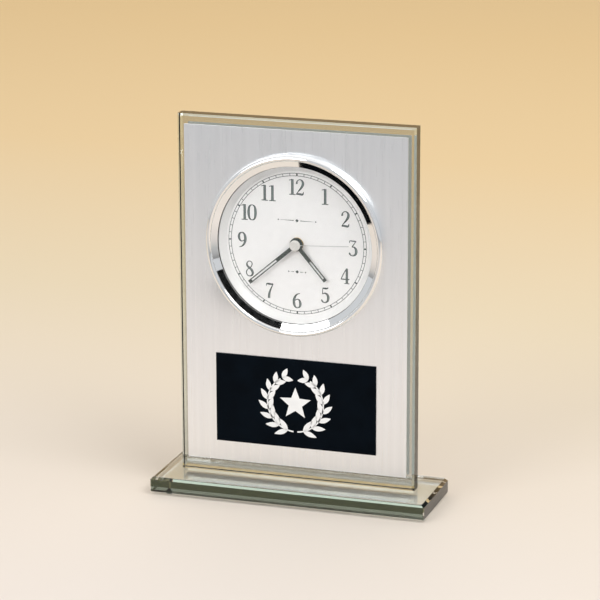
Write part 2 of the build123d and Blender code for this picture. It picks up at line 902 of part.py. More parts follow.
with BuildPart() as stator_screws:
    for spot in motor_screw_spots:
        add_disc(core_rear_y + motor_head_height, core_rear_y, motor_head_radius, spot)
        add_disc(core_rear_y, stator_front_y, motor_screw_radius, spot)
finish_part(stator_screws, "stator_screws")

# === train =====================================================================================

intermediate_pinion_phase = meshed_phase(
    intermediate_bearing_angle, intermediate_pinion_teeth, second_wheel_teeth
)
rotor_phase = meshed_phase(rotor_bearing_angle, rotor_pinion_teeth, intermediate_wheel_teeth)
third_wheel_phase = meshed_phase(third_bearing_angle, third_wheel_teeth, second_pinion_teeth)
third_pinion_phase = meshed_phase(third_bearing_angle, third_pinion_teeth, centre_wheel_teeth)
minute_work_phase = meshed_phase(minute_work_bearing_angle, minute_work_wheel_teeth, cannon_teeth)
minute_work_pinion_phase = meshed_phase(
    minute_work_bearing_angle, minute_work_pinion_teeth, hour_wheel_teeth
)
set_phase = meshed_phase(
    set_bearing_angle, set_pinion_teeth, minute_work_wheel_teeth, minute_work_phase
)

with BuildPart() as second_arbor:
    add_disc(second_arbor_rear_y, second_arbor_front_y, arbor_radius)
finish_part(second_arbor, "second_arbor")

second_wheel_front_y = second_wheel_y - wheel_thickness
second_pinion_front_y = second_pinion_y - second_pinion_length
second_hub_rear_y = second_wheel_y + second_hub_height
with BuildPart() as second_wheel:
    add_gear(second_wheel_y, wheel_thickness, second_wheel_teeth, second_module)
    add_gear(second_pinion_y, second_pinion_length, second_pinion_teeth, third_module)
    add_disc(second_hub_rear_y, second_wheel_y, second_hub_radius)
    add_disc(second_wheel_front_y, second_pinion_y, second_neck_radius)
    cut_windows(second_wheel_y, *second_windows)
    cut_disc(second_hub_rear_y, second_pinion_front_y, arbor_radius + press_gap)
finish_part(second_wheel, "second_wheel")

third_arbor_front_y = third_bearing_y - pivot_length + pivot_play
third_hub_rear_y = third_wheel_y + third_hub_height
with BuildPart() as third_wheel:
    add_disc(arbor_rear_y, third_arbor_front_y, arbor_radius, third_axis)
    add_gear(
        third_wheel_y, wheel_thickness, third_wheel_teeth, third_module, third_axis,
        third_wheel_phase,
    )
    cut_windows(third_wheel_y, *third_windows, third_axis)
    add_gear(
        third_pinion_y, third_pinion_length, third_pinion_teeth, centre_module, third_axis,
        third_pinion_phase,
    )
    add_disc(third_hub_rear_y, third_wheel_y, third_hub_radius, third_axis)
finish_part(third_wheel, "third_wheel")

centre_hub_front_y = centre_hub_y - centre_hub_height
with BuildPart() as centre_wheel:
    add_gear(centre_wheel_y, wheel_thickness, centre_wheel_teeth, centre_module)
    cut_windows(centre_wheel_y, *centre_windows)
    add_disc(centre_hub_y, centre_hub_front_y, centre_hub_radius)
    cut_disc(centre_hub_y, centre_hub_front_y, minute_tube_radius + press_gap)
finish_part(centre_wheel, "centre_wheel")

with BuildPart() as cannon_pinion:
    add_disc(minute_tube_rear_y, minute_tube_front_y, minute_tube_radius)
    add_gear(cannon_y, pinion_length, cannon_teeth, minute_work_module)
    cut_disc(minute_tube_rear_y, minute_tube_front_y, minute_tube_bore)
finish_part(cannon_pinion, "cannon_pinion")

minute_work_front_y = minute_work_pinion_y - minute_work_pinion_length
with BuildPart() as minute_work_wheel:
    add_gear(
        minute_work_wheel_y, wheel_thickness, minute_work_wheel_teeth, minute_work_module,
        minute_work_axis, minute_work_phase,
    )
    cut_windows(minute_work_wheel_y, *minute_work_windows, minute_work_axis)
    add_gear(
        minute_work_pinion_y, minute_work_pinion_length, minute_work_pinion_teeth, motion_module,
        minute_work_axis, minute_work_pinion_phase,
    )
    cut_disc(minute_work_wheel_y, minute_work_front_y, stud_radius + seat_gap, minute_work_axis)
finish_part(minute_work_wheel, "minute_work_wheel")

with BuildPart() as hour_wheel:
    add_gear(hour_wheel_y, hour_wheel_thickness, hour_wheel_teeth, motion_module)
    add_disc(hour_wheel_y, hour_tube_front_y, hour_tube_radius)
    cut_disc(hour_wheel_y, hour_tube_front_y, hour_tube_bore)
    with BuildSketch(facing(hour_wheel_y)):
        with PolarLocations(hour_window_circle, hour_window_count):
            Circle(hour_window_radius)
    extrude(amount=hour_wheel_thickness, mode=Mode.SUBTRACT)
finish_part(hour_wheel, "hour_wheel")

intermediate_front_y = intermediate_bearing_y - pivot_length + pivot_play
with BuildPart() as intermediate_wheel:
    add_disc(arbor_rear_y, intermediate_front_y, arbor_radius, intermediate_axis)
    add_gear(
        intermediate_wheel_y, wheel_thickness, intermediate_wheel_teeth, rotor_module,
        intermediate_axis,
    )
    cut_windows(intermediate_wheel_y, *intermediate_windows, intermediate_axis)
    add_gear(
        intermediate_pinion_y, intermediate_pinion_length, intermediate_pinion_teeth,
        second_module, intermediate_axis, intermediate_pinion_phase,
    )
finish_part(intermediate_wheel, "intermediate_wheel")

rotor_front_y = rotor_bearing_y - pivot_length + pivot_play
rotor_pinion_front_y = rotor_pinion_y - rotor_pinion_length
rotor_hub_front_y = rotor_pinion_front_y - rotor_hub_length
with BuildPart() as rotor:
    add_disc(arbor_rear_y, rotor_front_y, arbor_radius, rotor_axis)
    add_gear(
        rotor_pinion_y, rotor_pinion_length, rotor_pinion_teeth, rotor_module, rotor_axis,
        rotor_phase,
    )
    add_disc(rotor_pinion_front_y, rotor_hub_front_y, rotor_hub_radius, rotor_axis)
finish_part(rotor, "rotor")

magnet_front_y = magnet_y - magnet_thickness
with BuildPart() as rotor_magnet:
    add_disc(magnet_y, magnet_front_y, magnet_radius, rotor_axis)
    cut_disc(magnet_y, magnet_front_y, rotor_hub_radius + press_gap, rotor_axis)
finish_part(rotor_magnet, "rotor_magnet")

with BuildPart() as set_shaft:
    add_disc(set_shaft_rear_y, set_shaft_front_y, set_shaft_radius, set_axis)
    add_gear(
        set_pinion_y, pinion_length, set_pinion_teeth, minute_work_module, set_axis, set_phase
    )
finish_part(set_shaft, "set_shaft")

with BuildPart() as set_knob:
    add_disc(knob_rear_y, knob_front_y, knob_radius, set_axis)
    chamfer(set_knob.faces().sort_by(Axis.Y)[-1].edges(), knob_bevel)
    with BuildSketch(facing(knob_rear_y)):
        with Locations(set_axis):
            with PolarLocations(knob_flute_circle, knob_flute_count):
                Circle(knob_flute_radius)
    extrude(amount=knob_rear_y - knob_front_y, mode=Mode.SUBTRACT)
    cut_disc(set_shaft_rear_y, knob_front_y, set_shaft_radius + press_gap, set_axis)
finish_part(set_knob, "set_knob")

with BuildPart() as battery_hatch:
    add_disc(case_rear_y, hatch_front_y, hatch_radius, battery_axis)
    with BuildSketch(facing(hatch_lug_y)):
        with Locations(battery_axis):
            Rectangle(2 * (hatch_radius + hatch_lug_reach), hatch_lug_width)
    extrude(amount=hatch_lug_thickness)
    with BuildSketch(facing(case_rear_y)):
        with Locations(battery_axis):
            SlotOverall(*coin_slot)
    extrude(amount=coin_slot_depth, mode=Mode.SUBTRACT)
    add_disc(hatch_front_y, hatch_pad_front_y, hatch_pad_radius, battery_axis)
finish_part(battery_hatch, "battery_hatch")

# === hands =====================================================================================

shown_seconds_of_minute = shown_second / 60
shown_minutes_of_hour = (shown_minute + shown_seconds_of_minute) / 60
hour_angle = clock_angle((shown_hour + shown_minutes_of_hour) / 12)
minute_angle = clock_angle(shown_minutes_of_hour)
second_angle = clock_angle(shown_seconds_of_minute)

with BuildPart() as hour_hand:
    with BuildSketch(facing(hour_hand_y)):
        draw_hand(
            hour_hand_length, hour_angle, hour_boss_radius, hour_slot, hour_tube_radius + press_gap
        )
    extrude(amount=hand_thickness)
    with BuildSketch(facing(hour_hand_y + collet_thickness)):
        Circle(hour_collet_radius)
        Circle(hour_tube_radius + press_gap, mode=Mode.SUBTRACT)
    extrude(amount=collet_thickness)
finish_part(hour_hand, "hour_hand")

with BuildPart() as minute_hand:
    with BuildSketch(facing(minute_hand_y)):
        draw_hand(
            minute_hand_length, minute_angle, minute_boss_radius, minute_slot,
            minute_tube_radius + press_gap,
        )
    extrude(amount=hand_thickness)
    with BuildSketch(facing(minute_hand_y + collet_thickness)):
        Circle(minute_collet_radius)
        Circle(minute_tube_radius + press_gap, mode=Mode.SUBTRACT)
    extrude(amount=collet_thickness)
finish_part(minute_hand, "minute_hand")

second_hand_front_y = second_hand_y - second_hand_thickness
with BuildPart() as second_hand:
    with BuildSketch(facing(second_hand_y)):
        with PolarLocations(0, 1, start_angle=second_angle):
            with Locations((second_hand_length / 2, 0)):
                Rectangle(second_hand_length, second_hand_width)
        Circle(second_boss_radius)
        Circle(arbor_radius + press_gap, mode=Mode.SUBTRACT)
    extrude(amount=second_hand_thickness)
finish_part(second_hand, "second_hand")

with BuildPart() as second_hand_cap:
    add_disc(second_hand_front_y, second_hand_front_y - cap_thickness, cap_radius)
    fillet(second_hand_cap.faces().sort_by(Axis.Y)[0].edges(), cap_round)
    cut_disc(second_hand_front_y, second_arbor_front_y - press_gap, arbor_radius + press_gap)
finish_part(second_hand_cap, "second_hand_cap")
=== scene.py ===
import json
from math import atan2, cos, hypot, pi, radians, sin, tan, tau

import bmesh
import bpy
from mathutils import Euler, Matrix, Vector


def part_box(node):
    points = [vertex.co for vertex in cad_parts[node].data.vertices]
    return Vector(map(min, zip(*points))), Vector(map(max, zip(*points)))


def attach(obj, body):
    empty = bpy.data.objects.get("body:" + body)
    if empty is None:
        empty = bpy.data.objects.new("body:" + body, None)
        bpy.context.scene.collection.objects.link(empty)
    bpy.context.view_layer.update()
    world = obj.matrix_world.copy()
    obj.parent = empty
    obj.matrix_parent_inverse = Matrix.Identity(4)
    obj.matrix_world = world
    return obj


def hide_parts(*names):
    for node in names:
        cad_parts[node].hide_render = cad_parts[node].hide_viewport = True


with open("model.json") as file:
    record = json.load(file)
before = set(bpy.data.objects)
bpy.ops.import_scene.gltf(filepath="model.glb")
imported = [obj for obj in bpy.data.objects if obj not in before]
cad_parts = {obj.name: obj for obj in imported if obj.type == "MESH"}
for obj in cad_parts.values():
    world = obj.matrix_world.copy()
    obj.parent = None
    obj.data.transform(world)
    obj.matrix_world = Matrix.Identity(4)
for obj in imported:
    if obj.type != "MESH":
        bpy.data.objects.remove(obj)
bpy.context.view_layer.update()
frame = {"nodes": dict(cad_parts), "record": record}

MM = 0.001
nodes = frame["nodes"]


# === places read from the frame ================================================================

def middle(node):
    """Centre of a CAD node's box."""
    low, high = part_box(node)
    return Vector([(a + b) / 2 for a, b in zip(low, high)])


def front_of(node):
    """The y of a node's front face."""
    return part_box(node)[0][1]


def rear_of(node):
    """The y of a node's rear face."""
    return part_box(node)[1][1]


CLOCK = middle("dial")
DIAL_FRONT = front_of("dial")
PLATE_FRONT = front_of("front_plate")
COVER_REAR = rear_of("rear_cover")
PLAQUE_FRONT = front_of("plaque")


# === mesh helpers ==============================================================================

SMOOTH_ANGLE = radians(30)
FLAT_SMOOTH_ANGLE = radians(25)


def place(mesh, name):
    """A new object for this mesh, in the scene."""
    piece = bpy.data.objects.new(name, mesh)
    bpy.context.scene.collection.objects.link(piece)
    return piece


def finish_mesh(builder, name):
    """Turns a bmesh into an object, smooth but for edges sharper than SMOOTH_ANGLE."""
    mesh = bpy.data.meshes.new(name)
    bmesh.ops.recalc_face_normals(builder, faces=builder.faces)
    builder.to_mesh(mesh)
    builder.free()
    mesh.shade_smooth()
    mesh.set_sharp_from_angle(angle=SMOOTH_ANGLE)
    return place(mesh, name)


def join(pieces):
    """Joins pieces into the first of them."""
    first = pieces[0]
    with bpy.context.temp_override(active_object=first, selected_editable_objects=pieces, object=first):
        bpy.ops.object.join()
    return first


def bridge(builder, rings):
    """Adds a band of faces from each ring of vertices to the next; a tip is one vertex repeated."""
    for near, far in zip(rings, rings[1:]):
        if near[0] is near[1] and far[0] is far[1]:
            continue
        for i in range(len(near)):
            j = (i + 1) % len(near)
            corners = []
            for vert in (near[i], near[j], far[j], far[i]):
                if vert not in corners:
                    corners.append(vert)
            builder.faces.new(corners)


def arc(start, through, end, steps):
    """Points on the circle through three points, from start to just before end."""
    (x1, y1), (x2, y2), (x3, y3) = start, through, end
    d = 2 * (x1 * (y2 - y3) + x2 * (y3 - y1) + x3 * (y1 - y2))
    s1, s2, s3 = x1 * x1 + y1 * y1, x2 * x2 + y2 * y2, x3 * x3 + y3 * y3
    cx = (s1 * (y2 - y3) + s2 * (y3 - y1) + s3 * (y1 - y2)) / d
    cy = (s1 * (x3 - x2) + s2 * (x1 - x3) + s3 * (x2 - x1)) / d
    radius = hypot(x1 - cx, y1 - cy)
    a1, a2, a3 = (atan2(y - cy, x - cx) for x, y in (start, through, end))
    turn = (a3 - a1) % tau
    if (a2 - a1) % tau > turn:
        turn -= tau
    return [
        (cx + radius * cos(a1 + turn * i / steps), cy + radius * sin(a1 + turn * i / steps))
        for i in range(steps)
    ]


def lathe(name, section, segments, centre=None, along_y=True):
    """A closed section of (radius, depth) points in mm turned about an axis through centre.
    Depth runs along +Y from centre, or along +Z when along_y is false."""
    centre = CLOCK if centre is None else centre
    builder = bmesh.new()
    rings = []
    for radius, depth in section:
        if radius == 0:
            spot = (0, depth * MM, 0) if along_y else (0, 0, depth * MM)
            rings.append([builder.verts.new(spot)] * segments)
            continue
        ring = []
        for i in range(segments):
            turn = tau * i / segments
            across, up = radius * MM * cos(turn), radius * MM * sin(turn)
            ring.append(builder.verts.new((across, depth * MM, up) if along_y else (across, up, depth * MM)))
        rings.append(ring)
    bridge(builder, rings + rings[:1])
    for vert in builder.verts:
        vert.co += Vector(centre)
    return finish_mesh(builder, name)


def add_strip(builder, lefts, rights, front, back, closed=False):
    """Adds a solid strip between two rows of (x, z) points in metres, from y front to y back."""
    count = len(lefts)
    rows = [
        [builder.verts.new((x, y, z)) for x, z in side]
        for side in (lefts, rights)
        for y in (front, back)
    ]
    lf, lb, rf, rb = rows
    last = count if closed else count - 1
    for i in range(last):
        j = (i + 1) % count
        builder.faces.new((lf[i], lf[j], rf[j], rf[i]))
        builder.faces.new((lb[j], lb[i], rb[i], rb[j]))
        builder.faces.new((lf[j], lf[i], lb[i], lb[j]))
        builder.faces.new((rf[i], rf[j], rb[j], rb[i]))
    if not closed:
        builder.faces.new((lf[0], rf[0], rb[0], lb[0]))
        builder.faces.new((rf[-1], lf[-1], lb[-1], rb[-1]))


def add_ring(builder, radius, width, front, back, segments=240):
    """Adds a flat ring about the clock's centre, radius and width in mm."""
    def circle(r):
        turns = [tau * i / segments for i in range(segments)]
        return [(CLOCK.x + r * MM * cos(a), CLOCK.z + r * MM * sin(a)) for a in turns]
    add_strip(builder, circle(radius + width / 2), circle(radius - width / 2), front, back, closed=True)


def flat_piece(name, loops, front, thickness, centre, bevel=0.0):
    """A flat piece facing -Y from closed loops of (x, z) mm about centre; inner loops are holes."""
    curve = bpy.data.curves.new(name, "CURVE")
    curve.dimensions = "2D"
    curve.fill_mode = "BOTH"
    curve.extrude = thickness * MM / 2 - bevel * MM
    curve.bevel_depth = bevel * MM
    curve.bevel_resolution = 2
    curve.offset = -bevel * MM
    for loop in loops:
        spline = curve.splines.new("POLY")
        spline.points.add(len(loop) - 1)
        for point, (x, z) in zip(spline.points, loop):
            point.co = (x * MM, z * MM, 0, 1)
        spline.use_cyclic_u = True
    holder = bpy.data.objects.new(name + "_curve", curve)
    bpy.context.scene.collection.objects.link(holder)
    bpy.context.view_layer.update()
    depsgraph = bpy.context.evaluated_depsgraph_get()
    mesh = bpy.data.meshes.new_from_object(holder.evaluated_get(depsgraph))
    bpy.data.objects.remove(holder)
    stand_up = Euler((pi / 2, 0, 0)).to_matrix().to_4x4()
    mesh.transform(Matrix.Translation((centre[0], front + thickness * MM / 2, centre[1])) @ stand_up)
    mesh.name = name
    mesh.shade_smooth()
    mesh.set_sharp_from_angle(angle=FLAT_SMOOTH_ANGLE)
    return place(mesh, name)


# === materials =================================================================================

def material(name, colour, roughness=0.5, metallic=0.0, **more):
    """A Principled material; extra sockets are named with underscores for spaces."""
    made = bpy.data.materials.new(name)
    made.use_nodes = True
    made.diffuse_color = (*colour, 1)
    shader = made.node_tree.nodes["Principled BSDF"]
    shader.inputs["Base Color"].default_value = (*colour, 1)
    shader.inputs["Roughness"].default_value = roughness
    shader.inputs["Metallic"].default_value = metallic
    for socket, value in more.items():
        shader.inputs[socket.replace("_", " ")].default_value = value
    return made


def noise_of(made, scale, stretch=(1, 1, 1), detail=3.0):
    """A noise texture's output on object coordinates, in repeats per metre."""
    tree = made.node_tree
    coordinates = tree.nodes.new("ShaderNodeTexCoord")
    mapping = tree.nodes.new("ShaderNodeMapping")
    mapping.inputs["Scale"].default_value = stretch
    noise = tree.nodes.new("ShaderNodeTexNoise")
    noise.inputs["Scale"].default_value = scale
    noise.inputs["Detail"].default_value = detail
    tree.links.new(coordinates.outputs["Object"], mapping.inputs["Vector"])
    tree.links.new(mapping.outputs["Vector"], noise.inputs["Vector"])
    return noise.outputs["Fac"]


# a noise output's middle part, which is stretched over the whole range of what it varies
NOISE_LOW, NOISE_HIGH = 0.3, 0.7


def vary(made, socket, source, low, high):
    """Maps a noise output to a range of numbers or colours and links it to a shader socket."""
    tree = made.node_tree
    shader = tree.nodes["Principled BSDF"]
    if isinstance(low, tuple):
        ramp = tree.nodes.new("ShaderNodeValToRGB")
        ramp.color_ramp.elements[0].position = NOISE_LOW
        ramp.color_ramp.elements[1].position = NOISE_HIGH
        ramp.color_ramp.elements[0].color = (*low, 1)
        ramp.color_ramp.elements[1].color = (*high, 1)
        tree.links.new(source, ramp.inputs["Fac"])
        tree.links.new(ramp.outputs["Color"], shader.inputs[socket])
        return
    span = tree.nodes.new("ShaderNodeMapRange")
    span.inputs["From Min"].default_value = NOISE_LOW
    span.inputs["From Max"].default_value = NOISE_HIGH
    span.inputs["To Min"].default_value = low
    span.inputs["To Max"].default_value = high
    tree.links.new(source, span.inputs["Value"])
    tree.links.new(span.outputs["Result"], shader.inputs[socket])


def bump(made, source, depth, strength):
    """Bumps the surface by a noise output, depth in metres."""
    tree = made.node_tree
    node = tree.nodes.new("ShaderNodeBump")
    node.inputs["Strength"].default_value = strength
    node.inputs["Distance"].default_value = depth
    tree.links.new(source, node.inputs["Height"])
    tree.links.new(node.outputs["Normal"], tree.nodes["Principled BSDF"].inputs["Normal"])


def scaled(colour, amount):
    """A colour times amount, held to 1."""
    return tuple(min(1.0, c * amount) for c in colour)


def plain(name, colour, roughness, metallic=0.0, grain=900.0, depth=1e-5, spread=0.12, haze=0.07, **more):
    """A material with fine grain: spread in colour, haze in roughness and depth in bump."""
    made = material(name, colour, roughness, metallic, **more)
    grains = noise_of(made, grain)
    patches = noise_of(made, grain / 9)
    vary(made, "Base Color", patches, scaled(colour, 1 - spread), scaled(colour, 1 + spread))
    vary(made, "Roughness", grains, max(0.02, roughness - haze), roughness + haze)
    bump(made, grains, depth, 0.4)
    return made


SCRATCH_STRETCH = 0.006


def brushed(name, colour, roughness, along, metallic=1.0):
    """Brushed metal with its scratches along an axis, 0 for X or 2 for Z."""
    made = material(name, colour, roughness, metallic, Anisotropic=0.6)
    stretch = [1.0, 1.0, 1.0]
    stretch[along] = SCRATCH_STRETCH
    fine = noise_of(made, 5200, tuple(stretch), 2.0)
    coarse = noise_of(made, 420, tuple(stretch), 4.0)
    vary(made, "Base Color", coarse, scaled(colour, 0.975), scaled(colour, 1.02))
    vary(made, "Roughness", fine, roughness - 0.07, roughness + 0.09)
    bump(made, fine, 4e-6, 0.5)
    tree = made.node_tree
    tangent = tree.nodes.new("ShaderNodeTangent")
    tangent.direction_type = "RADIAL"
    tangent.axis = "Z" if along == 2 else "X"
    tree.links.new(tangent.outputs["Tangent"], tree.nodes["Principled BSDF"].inputs["Tangent"])
    return made


def glass(name, tint):
    """Polished glass with no absorption in depth; light takes on the tint where it crosses a face."""
    return material(name, tint, 0.0, 0.0, Transmission_Weight=1.0, IOR=1.52)


def clear_cover(name):
    """Thin clear glass that lets light straight through to what it covers."""
    made = material(name, (1, 1, 1), 0.0, 0.0, Transmission_Weight=1.0, IOR=1.45)
    tree = made.node_tree
    output = tree.nodes["Material Output"]
    path = tree.nodes.new("ShaderNodeLightPath")
    clear = tree.nodes.new("ShaderNodeBsdfTransparent")
    clear.inputs["Color"].default_value = (0.97, 0.98, 0.98, 1)
    mix = tree.nodes.new("ShaderNodeMixShader")
    tree.links.new(path.outputs["Is Shadow Ray"], mix.inputs["Fac"])
    tree.links.new(tree.nodes["Principled BSDF"].outputs["BSDF"], mix.inputs[1])
    tree.links.new(clear.outputs["BSDF"], mix.inputs[2])
    tree.links.new(mix.outputs["Shader"], output.inputs["Surface"])
    return made


looks = {
    "clear_glass": glass("polished_edge_glass", (0.80, 0.90, 0.86)),
    "lens_glass": clear_cover("crystal_glass"),
    "brushed_aluminium": brushed("brushed_plate", (0.93, 0.945, 0.965), 0.34, 2),
    "plaque_black": plain(
        "plaque_enamel", (0.0012, 0.0032, 0.0060), 0.40, grain=700, spread=0.3, Specular_IOR_Level=0.035,
    ),
    "chrome": plain(
        "polished_chrome", (0.90, 0.905, 0.90), 0.035, 1.0, grain=260, depth=1e-7, spread=0.02, haze=0.01,
    ),
    "ring_silver": plain(
        "satin_ring", (0.93, 0.93, 0.925), 0.36, 0.35, grain=5200, depth=4e-7, spread=0.01,
    ),
    "dial_paint": plain("dial_lacquer", (0.95, 0.945, 0.945), 0.55, grain=2600, depth=3e-6, spread=0.015),
    "hand_paint": plain(
        "hand_lacquer", (0.030, 0.048, 0.042), 0.28, grain=1800, spread=0.2, Coat_Weight=0.3,
    ),
    "hand_silver": plain("second_hand_satin", (0.62, 0.64, 0.63), 0.35, 1.0, grain=2500, depth=2e-6),
    "cap_white": plain("cap_gloss", (0.72, 0.70, 0.67), 0.25, grain=900, spread=0.04),
    "rubber_black": plain(
        "gasket_rubber", (0.020, 0.020, 0.021), 0.75, grain=1600, depth=3e-5, spread=0.3,
    ),
    "bumper_clear": plain(
        "bumper_soft", (0.86, 0.88, 0.86), 0.18, grain=500, Transmission_Weight=0.85, IOR=1.48,
    ),
    "case_black": plain(
        "case_moulding", (0.018, 0.018, 0.020), 0.48, grain=3200, depth=5e-5, spread=0.25,
    ),
    "movement_grey": plain(
        "movement_moulding", (0.075, 0.080, 0.085), 0.5, grain=2800, depth=3e-5, spread=0.2,
    ),
    "wheel_plastic": plain(
        "acetal", (0.80, 0.78, 0.70), 0.38, grain=2200, spread=0.05, Subsurface_Weight=0.1,
    ),
    "brass": plain("turned_brass", (0.72, 0.52, 0.22), 0.24, 1.0, grain=2400, depth=3e-6, spread=0.08),
    "copper": plain("winding_copper", (0.63, 0.24, 0.11), 0.30, 0.8, grain=5200, depth=6e-5, spread=0.2),
    "steel": plain("bright_steel", (0.60, 0.60, 0.60), 0.26, 1.0, grain=2600, depth=4e-6, spread=0.08),
    "motor_iron": plain("soft_iron", (0.36, 0.36, 0.35), 0.42, 1.0, grain=1800, depth=8e-6, spread=0.12),
    "magnet": plain("ferrite", (0.035, 0.035, 0.037), 0.62, grain=2400, depth=2e-5, spread=0.3),
    "board_green": plain(
        "solder_resist", (0.015, 0.095, 0.035), 0.33, grain=1200, spread=0.2, Coat_Weight=0.3,
    ),
    "chip_black": plain("chip_epoxy", (0.016, 0.016, 0.017), 0.55, grain=3000, depth=2e-5, spread=0.25),
    "print_dark": plain("dial_ink", (0.022, 0.042, 0.040), 0.55, grain=3000, spread=0.2),
    "print_grey": plain("dial_ink_grey", (0.20, 0.25, 0.24), 0.6, grain=3000, spread=0.08),
    "print_white": plain("plaque_print", (0.90, 0.90, 0.89), 0.5, grain=2200, spread=0.03),
}
base_brushed = brushed("brushed_base_sheet", (0.97, 0.98, 0.99), 0.46, 0, metallic=0.8)
base_glass = glass("base_glass_top", (0.95, 0.985, 0.985))
base_edge_glass = glass("base_glass_edge", (0.060, 0.098, 0.080))
pane_glass = glass("pane_glass", (0.60, 0.62, 0.60))
# pale film for the sheets' glued sides; its emission is painted light, brightening a side that lies in shade
# against the glass
bond_film_painted_glow = plain(
    "bond_film_painted_glow", (0.84, 0.85, 0.84), 0.7, grain=900, spread=0.03,
    Emission_Color=(0.86, 0.88, 0.84, 1), Emission_Strength=0.32,
)

# how square on to an axis a face is, as a cosine, to count as facing it
FACING = 0.9


def dress(piece, look):
    """Gives a piece one material."""
    piece.data.materials.clear()
    piece.data.materials.append(looks[look] if isinstance(look, str) else look)


for subpart in frame["record"]["subparts"]:
    node = nodes[subpart["node"]]
    for index in range(len(node.material_slots)):
        node.material_slots[index].material = looks[subpart["material_slot"]]


def dress_broad_faces(piece, look):
    """Gives the faces of a piece that look along Y a second material."""
    piece.data.materials.append(look)
    for face in piece.data.polygons:
        if abs(face.normal.y) > FACING:
            face.material_index = 1


def adopt(piece, body, slot, look=None, stands_for=()):
    """Rides a piece on its body, dresses it in look, or else in the look kept under slot, and hides the
    nodes it stands for.
    """
    dress(piece, look or slot)
    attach(piece, body)
    if stands_for:
        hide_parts(*stands_for)


# === camera ====================================================================================

TARGET = Vector((0.0009, 0.0, 0.1003))
AZIMUTH, ELEVATION, ROLL = radians(18.31), radians(15.21), radians(-0.2)
DISTANCE = 1.378
FOCAL_LENGTH, SENSOR_WIDTH = 169.6, 36.0

camera_data = bpy.data.cameras.new("camera")
camera_data.lens = FOCAL_LENGTH
camera_data.sensor_width = SENSOR_WIDTH
camera = bpy.data.objects.new("camera", camera_data)
bpy.context.scene.collection.objects.link(camera)
outward = Vector((sin(AZIMUTH) * cos(ELEVATION), -cos(AZIMUTH) * cos(ELEVATION), sin(ELEVATION)))
camera.location = TARGET + DISTANCE * outward
aim = (-outward).to_track_quat("-Z", "Y").to_matrix().to_4x4()
camera.matrix_world = Matrix.Translation(camera.location) @ aim @ Matrix.Rotation(ROLL, 4, "Z")
bpy.context.scene.camera = camera


# === stand =====================================================================================

GLUE = 0.02 * MM
BORE = 40.0
SHEET_CORNER, SHEET_BEVEL = 0.5, 0.08
HOLE_STEPS = 180


def sheet(name, node):
    """A thin sheet with softly broken edges, a hair clear of the glass it is bonded to."""
    low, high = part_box(node)
    spot = middle(node)
    half_x, half_z = (high[0] - low[0]) / 2 / MM, (high[2] - low[2]) / 2 / MM
    outer = []
    for cx, cz, start in ((1, 1, 0), (-1, 1, 90), (-1, -1, 180), (1, -1, 270)):
        for step in range(7):
            angle = radians(start + 15 * step)
            outer.append((
                cx * (half_x - SHEET_CORNER) + SHEET_CORNER * cos(angle),
                cz * (half_z - SHEET_CORNER) + SHEET_CORNER * sin(angle),
            ))
    rise = (CLOCK.z - spot.z) / MM
    turns = [tau * i / HOLE_STEPS for i in range(HOLE_STEPS)]
    hole = [(BORE * cos(a), rise + BORE * sin(a)) for a in turns]
    thickness = (high[1] - low[1]) / MM - GLUE / MM
    front = low[1] if spot.y < 0 else low[1] + GLUE
    piece = flat_piece(name, [outer, hole], front, thickness, (spot.x, spot.z), bevel=SHEET_BEVEL)
    adopt(piece, "stand", "brushed_aluminium", stands_for=(node,))
    # the glued side is pale, and its glow is painted light that brightens it where it lies in shade against
    # the glass
    piece.data.materials.append(bond_film_painted_glow)
    for face in piece.data.polygons:
        if face.normal.y * spot.y < -FACING * abs(spot.y):
            face.material_index = 1


# the pane, its bevels and bore as in the CAD; its broad faces are darker than its edges
pane_low, pane_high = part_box("upright_glass")
PANE_BEVEL = 1.0 * MM
SIDE_STEPS = 60


def pane_outline(inset, y):
    """Points (x, y, z) round the pane's outline, SIDE_STEPS to a side."""
    left, right = pane_low[0] + inset, pane_high[0] - inset
    bottom, top = pane_low[2] + inset, pane_high[2] - inset
    corners = [(left, bottom), (right, bottom), (right, top), (left, top)]
    points = []
    for (x1, z1), (x2, z2) in zip(corners, corners[1:] + corners[:1]):
        for step in range(SIDE_STEPS):
            t = step / SIDE_STEPS
            points.append((x1 + (x2 - x1) * t, y, z1 + (z2 - z1) * t))
    return points


def bore_outline(y):
    """Points round the bore, each on the way from its centre to a point of the outline."""
    points = []
    for x, _, z in pane_outline(PANE_BEVEL, y):
        part = BORE * MM / hypot(x - CLOCK.x, z - CLOCK.z)
        points.append((CLOCK.x + part * (x - CLOCK.x), y, CLOCK.z + part * (z - CLOCK.z)))
    return points


pane = bmesh.new()
pane_front, pane_rear = pane_low[1], pane_high[1]
rings = [
    [pane.verts.new(point) for point in points]
    for points in (
        bore_outline(pane_front),
        pane_outline(PANE_BEVEL, pane_front),
        pane_outline(0, pane_front + PANE_BEVEL),
        pane_outline(0, pane_rear - PANE_BEVEL),
        pane_outline(PANE_BEVEL, pane_rear),
        bore_outline(pane_rear),
    )
]
bridge(pane, rings + rings[:1])
upright_pane = finish_mesh(pane, "upright_pane")
adopt(upright_pane, "stand", "clear_glass", stands_for=("upright_glass",))
dress_broad_faces(upright_pane, pane_glass)

sheet("front_sheet", "front_plate")
sheet("rear_sheet", "rear_plate")

low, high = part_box("base_plate")
BASE_SHEET_BEVEL = 0.06 * MM
builder = bmesh.new()
bmesh.ops.create_cube(builder, size=1)
for vert in builder.verts:
    vert.co = Vector((
        vert.co.x * (high[0] - low[0]),
        vert.co.y * (high[1] - low[1]),
        (low[2] + high[2] - GLUE) / 2 + vert.co.z * (high[2] - low[2] - GLUE),
    ))
bmesh.ops.bevel(
    builder, geom=builder.edges[:], offset=BASE_SHEET_BEVEL, segments=2, affect="EDGES", profile=0.5,
)
adopt(finish_mesh(builder, "base_sheet"), "stand", "brushed_aluminium", base_brushed, ("base_plate",))

